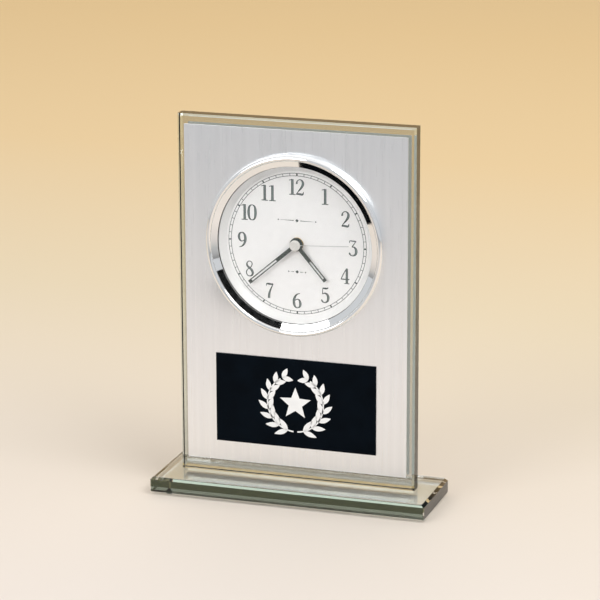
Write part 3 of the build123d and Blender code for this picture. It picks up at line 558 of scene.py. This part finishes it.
# the base glass, its bevels as in the CAD and its long faces darker than its top
low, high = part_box("base_glass")
TOP_BEVEL, UNDER_BEVEL, CORNER = 1.3 * MM, 0.6 * MM, 0.5 * MM
block = bmesh.new()
rings = []
for z, inset in (
    (low[2], UNDER_BEVEL), (low[2] + UNDER_BEVEL, 0), (high[2] - TOP_BEVEL, 0), (high[2], TOP_BEVEL),
):
    half_x, half_y = high[0] - inset, high[1] - inset
    corners = [
        (half_x, half_y - CORNER), (half_x - CORNER, half_y),
        (CORNER - half_x, half_y), (-half_x, half_y - CORNER),
        (-half_x, CORNER - half_y), (CORNER - half_x, -half_y),
        (half_x - CORNER, -half_y), (half_x, CORNER - half_y),
    ]
    rings.append([block.verts.new((x, y, z)) for x, y in corners])
block.faces.new(rings[0])
block.faces.new(rings[-1])
bridge(block, rings)
base_block = finish_mesh(block, "base_block")
adopt(base_block, "stand", "clear_glass", base_glass, ("base_glass",))
dress_broad_faces(base_block, base_edge_glass)

# clear bumpers, one near each corner
low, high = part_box("bumper_feet")
PAD_RADIUS, PAD_ROUND, PAD_RIM = 4.5, 0.45, 0.05
pad_height = (high[2] - low[2]) / MM
pad_section = [(0, 0)]
for step in range(6):
    angle = radians(-90 + 18 * step)
    pad_section.append((PAD_RADIUS - PAD_ROUND + PAD_ROUND * cos(angle), PAD_ROUND + PAD_ROUND * sin(angle)))
pad_section += [(PAD_RADIUS, pad_height - PAD_RIM), (PAD_RADIUS - PAD_RIM, pad_height), (0, pad_height)]
pads = []
for side_x in (low[0] + PAD_RADIUS * MM, high[0] - PAD_RADIUS * MM):
    for side_y in (low[1] + PAD_RADIUS * MM, high[1] - PAD_RADIUS * MM):
        pads.append(lathe("bumper_pads", pad_section, 48, (side_x, side_y, low[2]), along_y=False))
adopt(join(pads), "stand", "bumper_clear", stands_for=("bumper_feet",))

# emblem: a laurel wreath round a star, printed on the plaque
PRINT = 0.06
WREATH, STEM_HALF = 14.4, 0.35
LEAF_PAIRS, LEAF_LENGTH, LEAF_SHORTENING, LEAF_WIDTH, LEAF_LEAN = 8, 7.4, 0.25, 3.1, 0.62
FIRST_LEAF, LEAF_PITCH, STEM_START, STEM_PITCH, STEM_POINTS = -74, 19.5, -86, 8, 19
STAR_POINT, STAR_NOTCH = 8.4, 3.6
plaque_spot = middle("plaque")


def leaf(x, z, angle, length, width):
    """A pointed leaf from (x, z) towards angle."""
    outline = []
    steps = 12
    for side in (1, -1):
        for i in range(steps):
            t = i / steps if side > 0 else 1 - i / steps
            swell = width / 2 * sin(pi * t) ** 0.8 * (1 - 0.35 * t)
            along, across = t * length, side * swell
            outline.append((
                x + along * cos(angle) - across * sin(angle),
                z + along * sin(angle) + across * cos(angle),
            ))
    return outline


leaves = []
for mirror in (1, -1):
    for i in range(LEAF_PAIRS):
        along = radians(FIRST_LEAF + LEAF_PITCH * i)
        x, z = mirror * WREATH * cos(along), WREATH * sin(along)
        heading = along + pi / 2
        for lean in (LEAF_LEAN, -LEAF_LEAN):
            direction = heading + lean
            if mirror < 0:
                direction = pi - direction
            leaves.append(leaf(x, z, direction, LEAF_LENGTH - LEAF_SHORTENING * i, LEAF_WIDTH))
star = []
for i in range(10):
    radius = STAR_POINT if i % 2 == 0 else STAR_NOTCH
    star.append((radius * sin(tau * i / 10), radius * cos(tau * i / 10)))
centre = (plaque_spot.x, plaque_spot.z)
emblem_parts = [
    flat_piece("emblem", [outline], PLAQUE_FRONT - PRINT * MM, PRINT, centre)
    for outline in leaves + [star]
]
stem = [radians(STEM_START + STEM_PITCH * i) for i in range(STEM_POINTS)]
for mirror in (1, -1):
    stem_builder = bmesh.new()
    sides = [
        [(plaque_spot.x + mirror * r * MM * cos(a), plaque_spot.z + r * MM * sin(a)) for a in stem]
        for r in (WREATH + STEM_HALF, WREATH - STEM_HALF)
    ]
    add_strip(stem_builder, *sides, PLAQUE_FRONT - PRINT * MM, PLAQUE_FRONT)
    emblem_parts.append(finish_mesh(stem_builder, "emblem"))
adopt(join(emblem_parts), "stand", "dial_paint", "print_white")


# === clock insert ==============================================================================

def forward(distance):
    """Depth in mm from the clock's centre of a point this far in front of the front plate."""
    return (PLATE_FRONT - CLOCK.y) / MM - distance


def bead(*stations):
    """Section points from (radius, distance in front of the front plate) in mm."""
    return [(radius, forward(distance)) for radius, distance in stations]


# the ends of the bezel's conical inner slope
SLOPE_FOOT, SLOPE_LIP = (42.2, 3.1), (39.3, 1.7)

back, waist, peak, foot, lip = bead((44.0, 0.05), (45.0, 2.3), (43.5, 4.2), SLOPE_FOOT, SLOPE_LIP)
lower, upper, crest = bead((44.75, 0.9), (44.6, 3.6), (42.75, 3.85))
bezel_section = (
    arc(back, lower, waist, 10)
    + arc(waist, upper, peak, 14)
    + arc(peak, crest, foot, 10)
    + [foot, lip]
    + bead((39.3, 1.35), (41.6, 1.35), (41.6, 0.05))
)
adopt(lathe("bezel_ring", bezel_section, 320), "insert", "chrome", stands_for=("bezel",))

LENS_FRONT_RADIUS, LENS_REAR_RADIUS, LENS_EDGE = 39.2, 38.9, 41.3
LENS_STEPS = 24
# distances of the crystal's faces in front of the front plate, at its rim and at its apex
rim_front, rim_rear, apex_front, apex_rear = 1.3, 0.75, 2.9, 1.85
lens_section = [(0, forward(apex_front))]
for i in range(1, LENS_STEPS + 1):
    r = LENS_FRONT_RADIUS * i / LENS_STEPS
    lens_section.append((r, forward(apex_front - (apex_front - rim_front) * (r / LENS_FRONT_RADIUS) ** 2)))
lens_section += bead((LENS_EDGE, rim_front), (LENS_EDGE, rim_rear))
for i in range(LENS_STEPS, 0, -1):
    r = LENS_REAR_RADIUS * i / LENS_STEPS
    lens_section.append((r, forward(apex_rear - (apex_rear - rim_rear) * (r / LENS_REAR_RADIUS) ** 2)))
lens_section.append((0, forward(apex_rear)))
adopt(lathe("lens_crystal", lens_section, 192), "insert", "lens_glass", stands_for=("lens",))

ring_section = bead((38.9, 0.5), (39.1, 0.5), (36.8, -2.85), (37.7, -2.85), (37.7, -3.26), (36.2, -3.26))
adopt(lathe("dial_slope", ring_section, 320), "insert", "ring_silver", stands_for=("dial_ring",))

# printing on the dial
INK = 0.03 * MM
TRACK_OUTER, TRACK_INNER, LINE = 35.0, 33.7, 0.24
HOUR_BAR_HALF, HOUR_BAR_REACH = 0.34, 0.12


def clock_point(radius, minute, across=0.0):
    """A dial point (x, z) in metres at a radius in mm and a minute, moved across in mm."""
    angle = tau * minute / 60
    return (
        CLOCK.x + MM * (radius * sin(angle) + across * cos(angle)),
        CLOCK.z + MM * (radius * cos(angle) - across * sin(angle)),
    )


track = bmesh.new()
for radius in (TRACK_OUTER, TRACK_INNER):
    add_ring(track, radius, LINE, DIAL_FRONT - INK, DIAL_FRONT)
for minute in range(60):
    hour_bar = minute % 5 == 0
    half = HOUR_BAR_HALF if hour_bar else LINE / 2
    reach = HOUR_BAR_REACH if hour_bar else 0.0
    ends = (TRACK_INNER - reach, TRACK_OUTER + reach)
    add_strip(
        track,
        [clock_point(r, minute, half) for r in ends],
        [clock_point(r, minute, -half) for r in ends],
        DIAL_FRONT - 1.3 * INK,
        DIAL_FRONT,
    )
adopt(finish_mesh(track, "dial_track"), "insert", "hand_paint", "print_dark")

# numerals: each stroke is a row of (x, z, width) in units of the numeral's height
DIGITS = {
    "0": [
        [(0, 0.975, 0.05), (0.17, 0.86, 0.11), (0.225, 0.5, 0.16), (0.17, 0.14, 0.11),
         (0, 0.025, 0.05), (-0.17, 0.14, 0.11), (-0.225, 0.5, 0.16), (-0.17, 0.86, 0.11),
         "closed"],
    ],
    "1": [
        [(0.02, 0.985, 0.15), (0.02, 0.7, 0.155), (0.02, 0.3, 0.155), (0.02, 0.015, 0.16)],
        [(-0.19, 0.022, 0.045), (0.02, 0.03, 0.06), (0.23, 0.022, 0.045)],
        [(-0.2, 0.9, 0.035), (-0.1, 0.93, 0.05), (0.03, 0.965, 0.05)],
    ],
    "2": [
        [(-0.19, 0.7, 0.12), (-0.2, 0.77, 0.1), (-0.15, 0.9, 0.06), (-0.01, 0.975, 0.055),
         (0.14, 0.91, 0.1), (0.2, 0.75, 0.15), (0.15, 0.57, 0.14), (0.02, 0.38, 0.1),
         (-0.12, 0.21, 0.06), (-0.23, 0.045, 0.05)],
        [(-0.23, 0.045, 0.06), (-0.1, 0.075, 0.1), (0.06, 0.06, 0.13), (0.18, 0.07, 0.1),
         (0.235, 0.22, 0.035)],
    ],
    "3": [
        [(-0.2, 0.82, 0.035), (-0.185, 0.95, 0.06), (0.0, 0.945, 0.075), (0.2, 0.95, 0.06)],
        [(0.2, 0.955, 0.05), (0.08, 0.77, 0.055), (-0.05, 0.585, 0.06)],
        [(-0.06, 0.575, 0.05), (0.08, 0.57, 0.08), (0.19, 0.45, 0.14), (0.215, 0.29, 0.16),
         (0.16, 0.11, 0.12), (0.0, 0.025, 0.06), (-0.14, 0.06, 0.07), (-0.2, 0.16, 0.11),
         (-0.19, 0.2, 0.09)],
    ],
    "4": [
        [(0.1, 0.985, 0.13), (0.1, 0.5, 0.145), (0.1, 0.015, 0.15)],
        [(0.07, 0.96, 0.05), (-0.12, 0.62, 0.055), (-0.27, 0.3, 0.05)],
        [(-0.28, 0.3, 0.08), (0.0, 0.295, 0.07), (0.26, 0.3, 0.06)],
        [(-0.06, 0.022, 0.045), (0.1, 0.03, 0.05), (0.26, 0.022, 0.045)],
    ],
    "5": [
        [(-0.13, 0.93, 0.08), (0.04, 0.92, 0.11), (0.17, 0.94, 0.07), (0.2, 1.0, 0.035)],
        [(-0.13, 0.96, 0.045), (-0.145, 0.75, 0.045), (-0.16, 0.55, 0.05)],
        [(-0.16, 0.555, 0.05), (-0.02, 0.62, 0.07), (0.14, 0.55, 0.12), (0.215, 0.36, 0.16),
         (0.17, 0.13, 0.12), (0.02, 0.025, 0.06), (-0.13, 0.055, 0.07), (-0.19, 0.15, 0.11),
         (-0.18, 0.19, 0.09)],
    ],
    "6": [
        [(0.18, 0.95, 0.035), (0.02, 0.9, 0.07), (-0.13, 0.75, 0.12), (-0.215, 0.5, 0.155),
         (-0.2, 0.24, 0.15), (-0.11, 0.06, 0.09), (0.02, 0.025, 0.055), (0.15, 0.1, 0.11),
         (0.2, 0.3, 0.15), (0.14, 0.5, 0.11), (0.02, 0.575, 0.055), (-0.11, 0.52, 0.045),
         (-0.19, 0.42, 0.04)],
    ],
    "7": [
        [(-0.21, 0.8, 0.035), (-0.195, 0.93, 0.07), (-0.04, 0.93, 0.12), (0.1, 0.92, 0.1),
         (0.23, 0.95, 0.06)],
        [(0.22, 0.94, 0.05), (0.1, 0.68, 0.08), (0.0, 0.42, 0.12), (-0.045, 0.2, 0.15),
         (-0.05, 0.02, 0.16)],
    ],
    "8": [
        [(0.0, 0.54, 0.13), (-0.13, 0.65, 0.115), (-0.175, 0.79, 0.09), (-0.11, 0.93, 0.06),
         (0.015, 0.975, 0.05), (0.13, 0.92, 0.055), (0.17, 0.79, 0.06), (0.11, 0.64, 0.055),
         (-0.02, 0.53, 0.05), (-0.15, 0.41, 0.055), (-0.21, 0.26, 0.065), (-0.15, 0.08, 0.06),
         (0.0, 0.025, 0.055), (0.15, 0.09, 0.1), (0.205, 0.25, 0.14), (0.13, 0.42, 0.15),
         "closed"],
    ],
}
DIGITS["9"] = [[(-x, 1 - z, w) for x, z, w in DIGITS["6"][0]]]
NUMERAL_HEIGHT, NUMERAL_CIRCLE = 7.9, 28.2
# in units of the numeral's height
DIGIT_SPACING, PAIR_SHIFT = 0.50, 0.06
INLINE_TRIM, INLINE_SLIDE = 0.095, 0.008
LEAST_STROKE, LEAST_POINT, LEAST_WIDTH = 0.03, 0.004, 0.002


def smooth_stroke(points, closed, steps=7):
    """A Catmull-Rom row through stroke points."""
    count = len(points)
    if count == 2:
        return list(points)
    row = []
    for i in range(count if closed else count - 1):
        a, b, c, d = (
            points[k % count] if closed else points[min(max(k, 0), count - 1)]
            for k in (i - 1, i, i + 1, i + 2)
        )
        for step in range(steps):
            t = step / steps
            row.append(tuple(
                0.5 * (
                    2 * q + (r - p) * t + (2 * p - 5 * q + 4 * r - s) * t * t
                    + (3 * q - p - 3 * r + s) * t ** 3
                )
                for p, q, r, s in zip(a, b, c, d)
            ))
    if not closed:
        row.append(points[-1])
    return row


def stroke_sides(row, closed, trim, slide):
    """Left and right rows of a stroke, its width less trim, moved by slide of that width."""
    count = len(row)
    lefts, rights = [], []
    for i in range(count):
        before = row[(i - 1) % count if closed else max(i - 1, 0)]
        after = row[(i + 1) % count if closed else min(i + 1, count - 1)]
        dx, dz = after[0] - before[0], after[1] - before[1]
        size = hypot(dx, dz) or 1.0
        nx, nz = -dz / size, dx / size
        x, z, width = row[i]
        half = max(width - trim, LEAST_WIDTH) / 2
        lefts.append((x + slide + nx * half, z + nz * half))
        rights.append((x + slide - nx * half, z - nz * half))
    return lefts, rights


def add_numeral(builder, text, centre, trim, front, slide=0.0):
    """Adds a numeral's strokes about a centre (x, z) in metres, without those that trim uses up."""
    for place_index, digit in enumerate(text):
        shift = (place_index - (len(text) - 1) / 2) * DIGIT_SPACING - (PAIR_SHIFT if len(text) > 1 else 0.0)
        for stroke in DIGITS[digit]:
            closed = stroke[-1] == "closed"
            row = smooth_stroke([p for p in stroke if p != "closed"], closed)
            if trim and max(p[2] for p in row) < trim + LEAST_STROKE:
                continue
            if trim and not closed:
                row = [p for p in row if p[2] > trim + LEAST_POINT]
                if len(row) < 2:
                    continue
            sides = stroke_sides(row, closed, trim, slide)
            scale = NUMERAL_HEIGHT * MM
            lefts, rights = (
                [(centre[0] + (x + shift) * scale, centre[1] + (z - 0.5) * scale) for x, z in side]
                for side in sides
            )
            add_strip(builder, lefts, rights, front, DIAL_FRONT, closed)


ink = bmesh.new()
shade = bmesh.new()
for hour in range(1, 13):
    spot = clock_point(NUMERAL_CIRCLE, 5 * hour)
    add_numeral(ink, str(hour), spot, 0.0, DIAL_FRONT - INK)
    add_numeral(shade, str(hour), spot, INLINE_TRIM, DIAL_FRONT - 2 * INK, INLINE_SLIDE)
adopt(finish_mesh(ink, "numerals"), "insert", "hand_paint", "print_dark")
adopt(finish_mesh(shade, "numeral_inlines"), "insert", "dial_paint", "print_grey")

# two small ornaments: a diamond between two tapered lines that end in smaller diamonds
ORNAMENT_GAP, ORNAMENT_THICK, ORNAMENT_THIN = 1.6, 0.16, 0.04
MIDDLE_DIAMOND, END_DIAMOND, END_GAP = 0.85, 0.4, 0.9


def dial_spot(x, z):
    """A dial point (x, z) in metres from one in mm about the clock's centre."""
    return (CLOCK.x + x * MM, CLOCK.z + z * MM)


ornament = bmesh.new()
for height, half_length in ((11.6, 8.6), (-13.9, 3.4)):
    for side in (-1, 1):
        inner, outer = ORNAMENT_GAP * side, half_length * side
        add_strip(
            ornament,
            [dial_spot(inner, height + ORNAMENT_THICK), dial_spot(outer, height + ORNAMENT_THIN)],
            [dial_spot(inner, height - ORNAMENT_THICK), dial_spot(outer, height - ORNAMENT_THIN)],
            DIAL_FRONT - INK,
            DIAL_FRONT,
        )
    for offset, size in (
        (0, MIDDLE_DIAMOND), (-half_length - END_GAP, END_DIAMOND), (half_length + END_GAP, END_DIAMOND),
    ):
        x, z = dial_spot(offset, height)
        add_strip(
            ornament,
            [(x - size * MM, z), (x, z + size * MM)],
            [(x, z - size * MM), (x + size * MM, z)],
            DIAL_FRONT - INK,
            DIAL_FRONT,
        )
adopt(finish_mesh(ornament, "dial_ornaments"), "insert", "hand_paint", "print_dark")

# moulded on the rear cover: arrows round the setting knob, and a plus sign by the battery hatch
knob = middle("set_knob")
hatch = middle("battery_hatch")
RAISED = 0.22 * MM
ARROW_OUTER, ARROW_INNER = 7.1, 6.6
HEAD_OUTER, HEAD_INNER, TIP_OUTER, TIP_INNER = 7.8, 5.9, 6.86, 6.84
PLUS_REACH, PLUS_HALF, PLUS_AWAY = 1.1, 0.22, 11.0


def round_knob(radius, angle):
    """A point (x, z) in metres at a radius in mm from the setting knob's axis."""
    return (knob.x + radius * MM * cos(angle), knob.z + radius * MM * sin(angle))


arrows = bmesh.new()
for start in (20, 200):
    sweep = [radians(start + 7 * i) for i in range(16)]
    base, tip = sweep[-1], sweep[-1] + radians(13)
    for outer, inner in (
        ([round_knob(ARROW_OUTER, a) for a in sweep], [round_knob(ARROW_INNER, a) for a in sweep]),
        (
            [round_knob(HEAD_OUTER, base), round_knob(TIP_OUTER, tip)],
            [round_knob(HEAD_INNER, base), round_knob(TIP_INNER, tip)],
        ),
    ):
        add_strip(arrows, outer, inner, COVER_REAR, COVER_REAR + RAISED)
for dx, dz in ((PLUS_REACH, PLUS_HALF), (PLUS_HALF, PLUS_REACH)):
    x, z = hatch.x - PLUS_AWAY * MM, hatch.z
    add_strip(
        arrows,
        [(x - dx * MM, z + dz * MM), (x + dx * MM, z + dz * MM)],
        [(x - dx * MM, z - dz * MM), (x + dx * MM, z - dz * MM)],
        COVER_REAR,
        COVER_REAR + RAISED,
    )
adopt(finish_mesh(arrows, "moulded_marks"), "insert", "case_black")


# === studio ====================================================================================

def stage_material(name, stops):
    """A matte backdrop whose colour runs through (y in metres, colour) stops."""
    made = material(name, stops[0][1], 0.9)
    tree = made.node_tree
    coordinates = tree.nodes.new("ShaderNodeTexCoord")
    parts = tree.nodes.new("ShaderNodeSeparateXYZ")
    span = tree.nodes.new("ShaderNodeMapRange")
    first, last = stops[0][0], stops[-1][0]
    span.inputs["From Min"].default_value = first
    span.inputs["From Max"].default_value = last
    ramp = tree.nodes.new("ShaderNodeValToRGB")
    ramp.color_ramp.interpolation = "LINEAR"
    while len(ramp.color_ramp.elements) < len(stops):
        ramp.color_ramp.elements.new(0.5)
    for element, (spot, colour) in zip(ramp.color_ramp.elements, stops):
        element.position = (spot - first) / (last - first)
        element.color = (*colour, 1)
    tree.links.new(coordinates.outputs["Object"], parts.inputs["Vector"])
    tree.links.new(parts.outputs["Y"], span.inputs["Value"])
    tree.links.new(span.outputs["Result"], ramp.inputs["Fac"])
    tree.links.new(ramp.outputs["Color"], tree.nodes["Principled BSDF"].inputs["Base Color"])
    tree.nodes["Principled BSDF"].inputs["Specular IOR Level"].default_value = 0.1
    return made


# grey in front of the object, cream round it and peach behind it
STOPS = [
    (-1.2, (0.30, 0.303, 0.31)),
    (-0.62, (0.40, 0.403, 0.41)),
    (-0.24, (0.77, 0.705, 0.655)),
    (0.07, (0.785, 0.70, 0.60)),
    (0.35, (0.80, 0.68, 0.49)),
    (0.76, (0.86, 0.655, 0.385)),
    (1.31, (0.89, 0.655, 0.355)),
]
FLOOR_RADIUS, WALL_BEND, WALL_TOP = 2.0, 0.8, 3.2


def turned_sheet(name, line, segments=128):
    """An open sheet: (radius, z) points in metres turned about Z."""
    builder = bmesh.new()
    rings = []
    for radius, z in line:
        if radius == 0:
            rings.append([builder.verts.new((0, 0, z))] * segments)
        else:
            rings.append([
                builder.verts.new((radius * cos(tau * i / segments), radius * sin(tau * i / segments), z))
                for i in range(segments)
            ])
    bridge(builder, rings)
    mesh = bpy.data.meshes.new(name)
    builder.to_mesh(mesh)
    builder.free()
    mesh.shade_smooth()
    piece = place(mesh, name)
    return piece


floor = turned_sheet("floor", [(0, 0), (0.5, 0), (1.2, 0), (FLOOR_RADIUS, 0)])
floor.data.materials.append(stage_material("floor_paper", STOPS))
wall_line = [(FLOOR_RADIUS, 0)]
for i in range(1, 13):
    angle = radians(7.5 * i)
    wall_line.append((FLOOR_RADIUS + WALL_BEND * sin(angle), WALL_BEND * (1 - cos(angle))))
wall_line.append((FLOOR_RADIUS + WALL_BEND, WALL_TOP))
wall = turned_sheet("backdrop", wall_line)
wall.data.materials.append(stage_material("backdrop_paper", STOPS))
# the backdrop is only seen directly and through glass
wall.visible_glossy = False
wall.visible_diffuse = False
wall.visible_shadow = False

# the slope radii, run on past its ends, that a card fills
CARD_RADII = (36.5, 45.0)
SLOPE_TILT = atan2(SLOPE_FOOT[1] - SLOPE_LIP[1], SLOPE_FOOT[0] - SLOPE_LIP[0])


def slope_reflection(radius, around, reach):
    """The point that the camera sees mirrored in the bezel's inner slope, reach metres away."""
    height = SLOPE_LIP[1] + (radius - SLOPE_LIP[0]) * tan(SLOPE_TILT)
    turn = radians(around)
    spot = Vector((
        CLOCK.x + radius * MM * sin(turn),
        PLATE_FRONT - height * MM,
        CLOCK.z + radius * MM * cos(turn),
    ))
    normal = Vector((
        -sin(SLOPE_TILT) * sin(turn),
        -cos(SLOPE_TILT),
        -sin(SLOPE_TILT) * cos(turn),
    ))
    towards_eye = (camera.location - spot).normalized()
    return spot + reach * (2 * normal.dot(towards_eye) * normal - towards_eye)


def dark_card(name, start, end, reach, steps=24):
    """A narrow black card for glossy rays only: a dark arc in the bezel's slope, start to end degrees."""
    builder = bmesh.new()
    rows = [
        [
            builder.verts.new(slope_reflection(radius, start + (end - start) * step / steps, reach))
            for step in range(steps + 1)
        ]
        for radius in CARD_RADII
    ]
    for near, far, near_next, far_next in zip(rows[0], rows[1], rows[0][1:], rows[1][1:]):
        builder.faces.new((near, near_next, far_next, far))
    card = finish_mesh(builder, name)
    card.data.materials.append(card_black)
    card.visible_camera = False
    card.visible_diffuse = False
    card.visible_shadow = False
    card.visible_transmission = False


card_black = material("card_black", (0.004, 0.005, 0.006), 0.9, Specular_IOR_Level=0.0)
dark_card("card_low", 4, 70, 0.10)
dark_card("card_ahead", 189, 249, 0.55)

WORLD_STRENGTH = 0.82
world = bpy.data.worlds.new("studio")
bpy.context.scene.world = world
world.use_nodes = True
tree = world.node_tree
background = tree.nodes["Background"]
background.inputs["Strength"].default_value = WORLD_STRENGTH
directions = tree.nodes.new("ShaderNodeTexCoord")


def cone(direction, inner, outer):
    """1 inside a cone of directions, fading to 0 between inner and outer degrees."""
    dot = tree.nodes.new("ShaderNodeVectorMath")
    dot.operation = "DOT_PRODUCT"
    dot.inputs[1].default_value = Vector(direction).normalized()
    span = tree.nodes.new("ShaderNodeMapRange")
    span.interpolation_type = "SMOOTHSTEP"
    span.inputs["From Min"].default_value = cos(radians(outer))
    span.inputs["From Max"].default_value = cos(radians(inner))
    tree.links.new(directions.outputs["Generated"], dot.inputs[0])
    tree.links.new(dot.outputs["Value"], span.inputs["Value"])
    return span.outputs["Result"]


room = tree.nodes.new("ShaderNodeRGB")
room.outputs[0].default_value = (0.80, 0.82, 0.85, 1)
shade_so_far = room.outputs[0]
# warm behind, bright overhead, and grey above and to the right behind
for direction, inner, outer, colour in (
    ((-0.3, 1.0, 0.1), 30, 85, (0.86, 0.62, 0.34)),
    ((0.0, 0.1, 1.0), 20, 55, (1.25, 1.25, 1.25)),
    ((0.62, 0.48, 0.62), 16, 34, (0.24, 0.27, 0.27)),
):
    layer = tree.nodes.new("ShaderNodeMix")
    layer.data_type = "RGBA"
    layer.inputs[7].default_value = (*colour, 1)
    tree.links.new(cone(direction, inner, outer), layer.inputs[0])
    tree.links.new(shade_so_far, layer.inputs[6])
    shade_so_far = layer.outputs[2]
tree.links.new(shade_so_far, background.inputs["Color"])


def softbox(name, location, size, energy):
    """A soft area light aimed at LIT_SPOT and hidden from the camera."""
    light = bpy.data.lights.new(name, "AREA")
    light.shape = "RECTANGLE"
    light.size, light.size_y = size
    light.energy = energy
    lamp = bpy.data.objects.new(name, light)
    bpy.context.scene.collection.objects.link(lamp)
    lamp.location = location
    lamp.visible_camera = False
    lamp.rotation_euler = (LIT_SPOT - Vector(location)).to_track_quat("-Z", "Y").to_euler()


LIT_SPOT = Vector((0, 0, 0.1))
softbox("key", (0.9, -0.5, 1.3), (0.9, 0.9), 10.5)
softbox("fill", (-0.8, -1.5, 0.9), (0.9, 0.9), 8.5)
softbox("back", (-0.35, 1.0, 1.05), (0.6, 0.3), 1.0)

bpy.context.scene.view_settings.view_transform = "Standard"
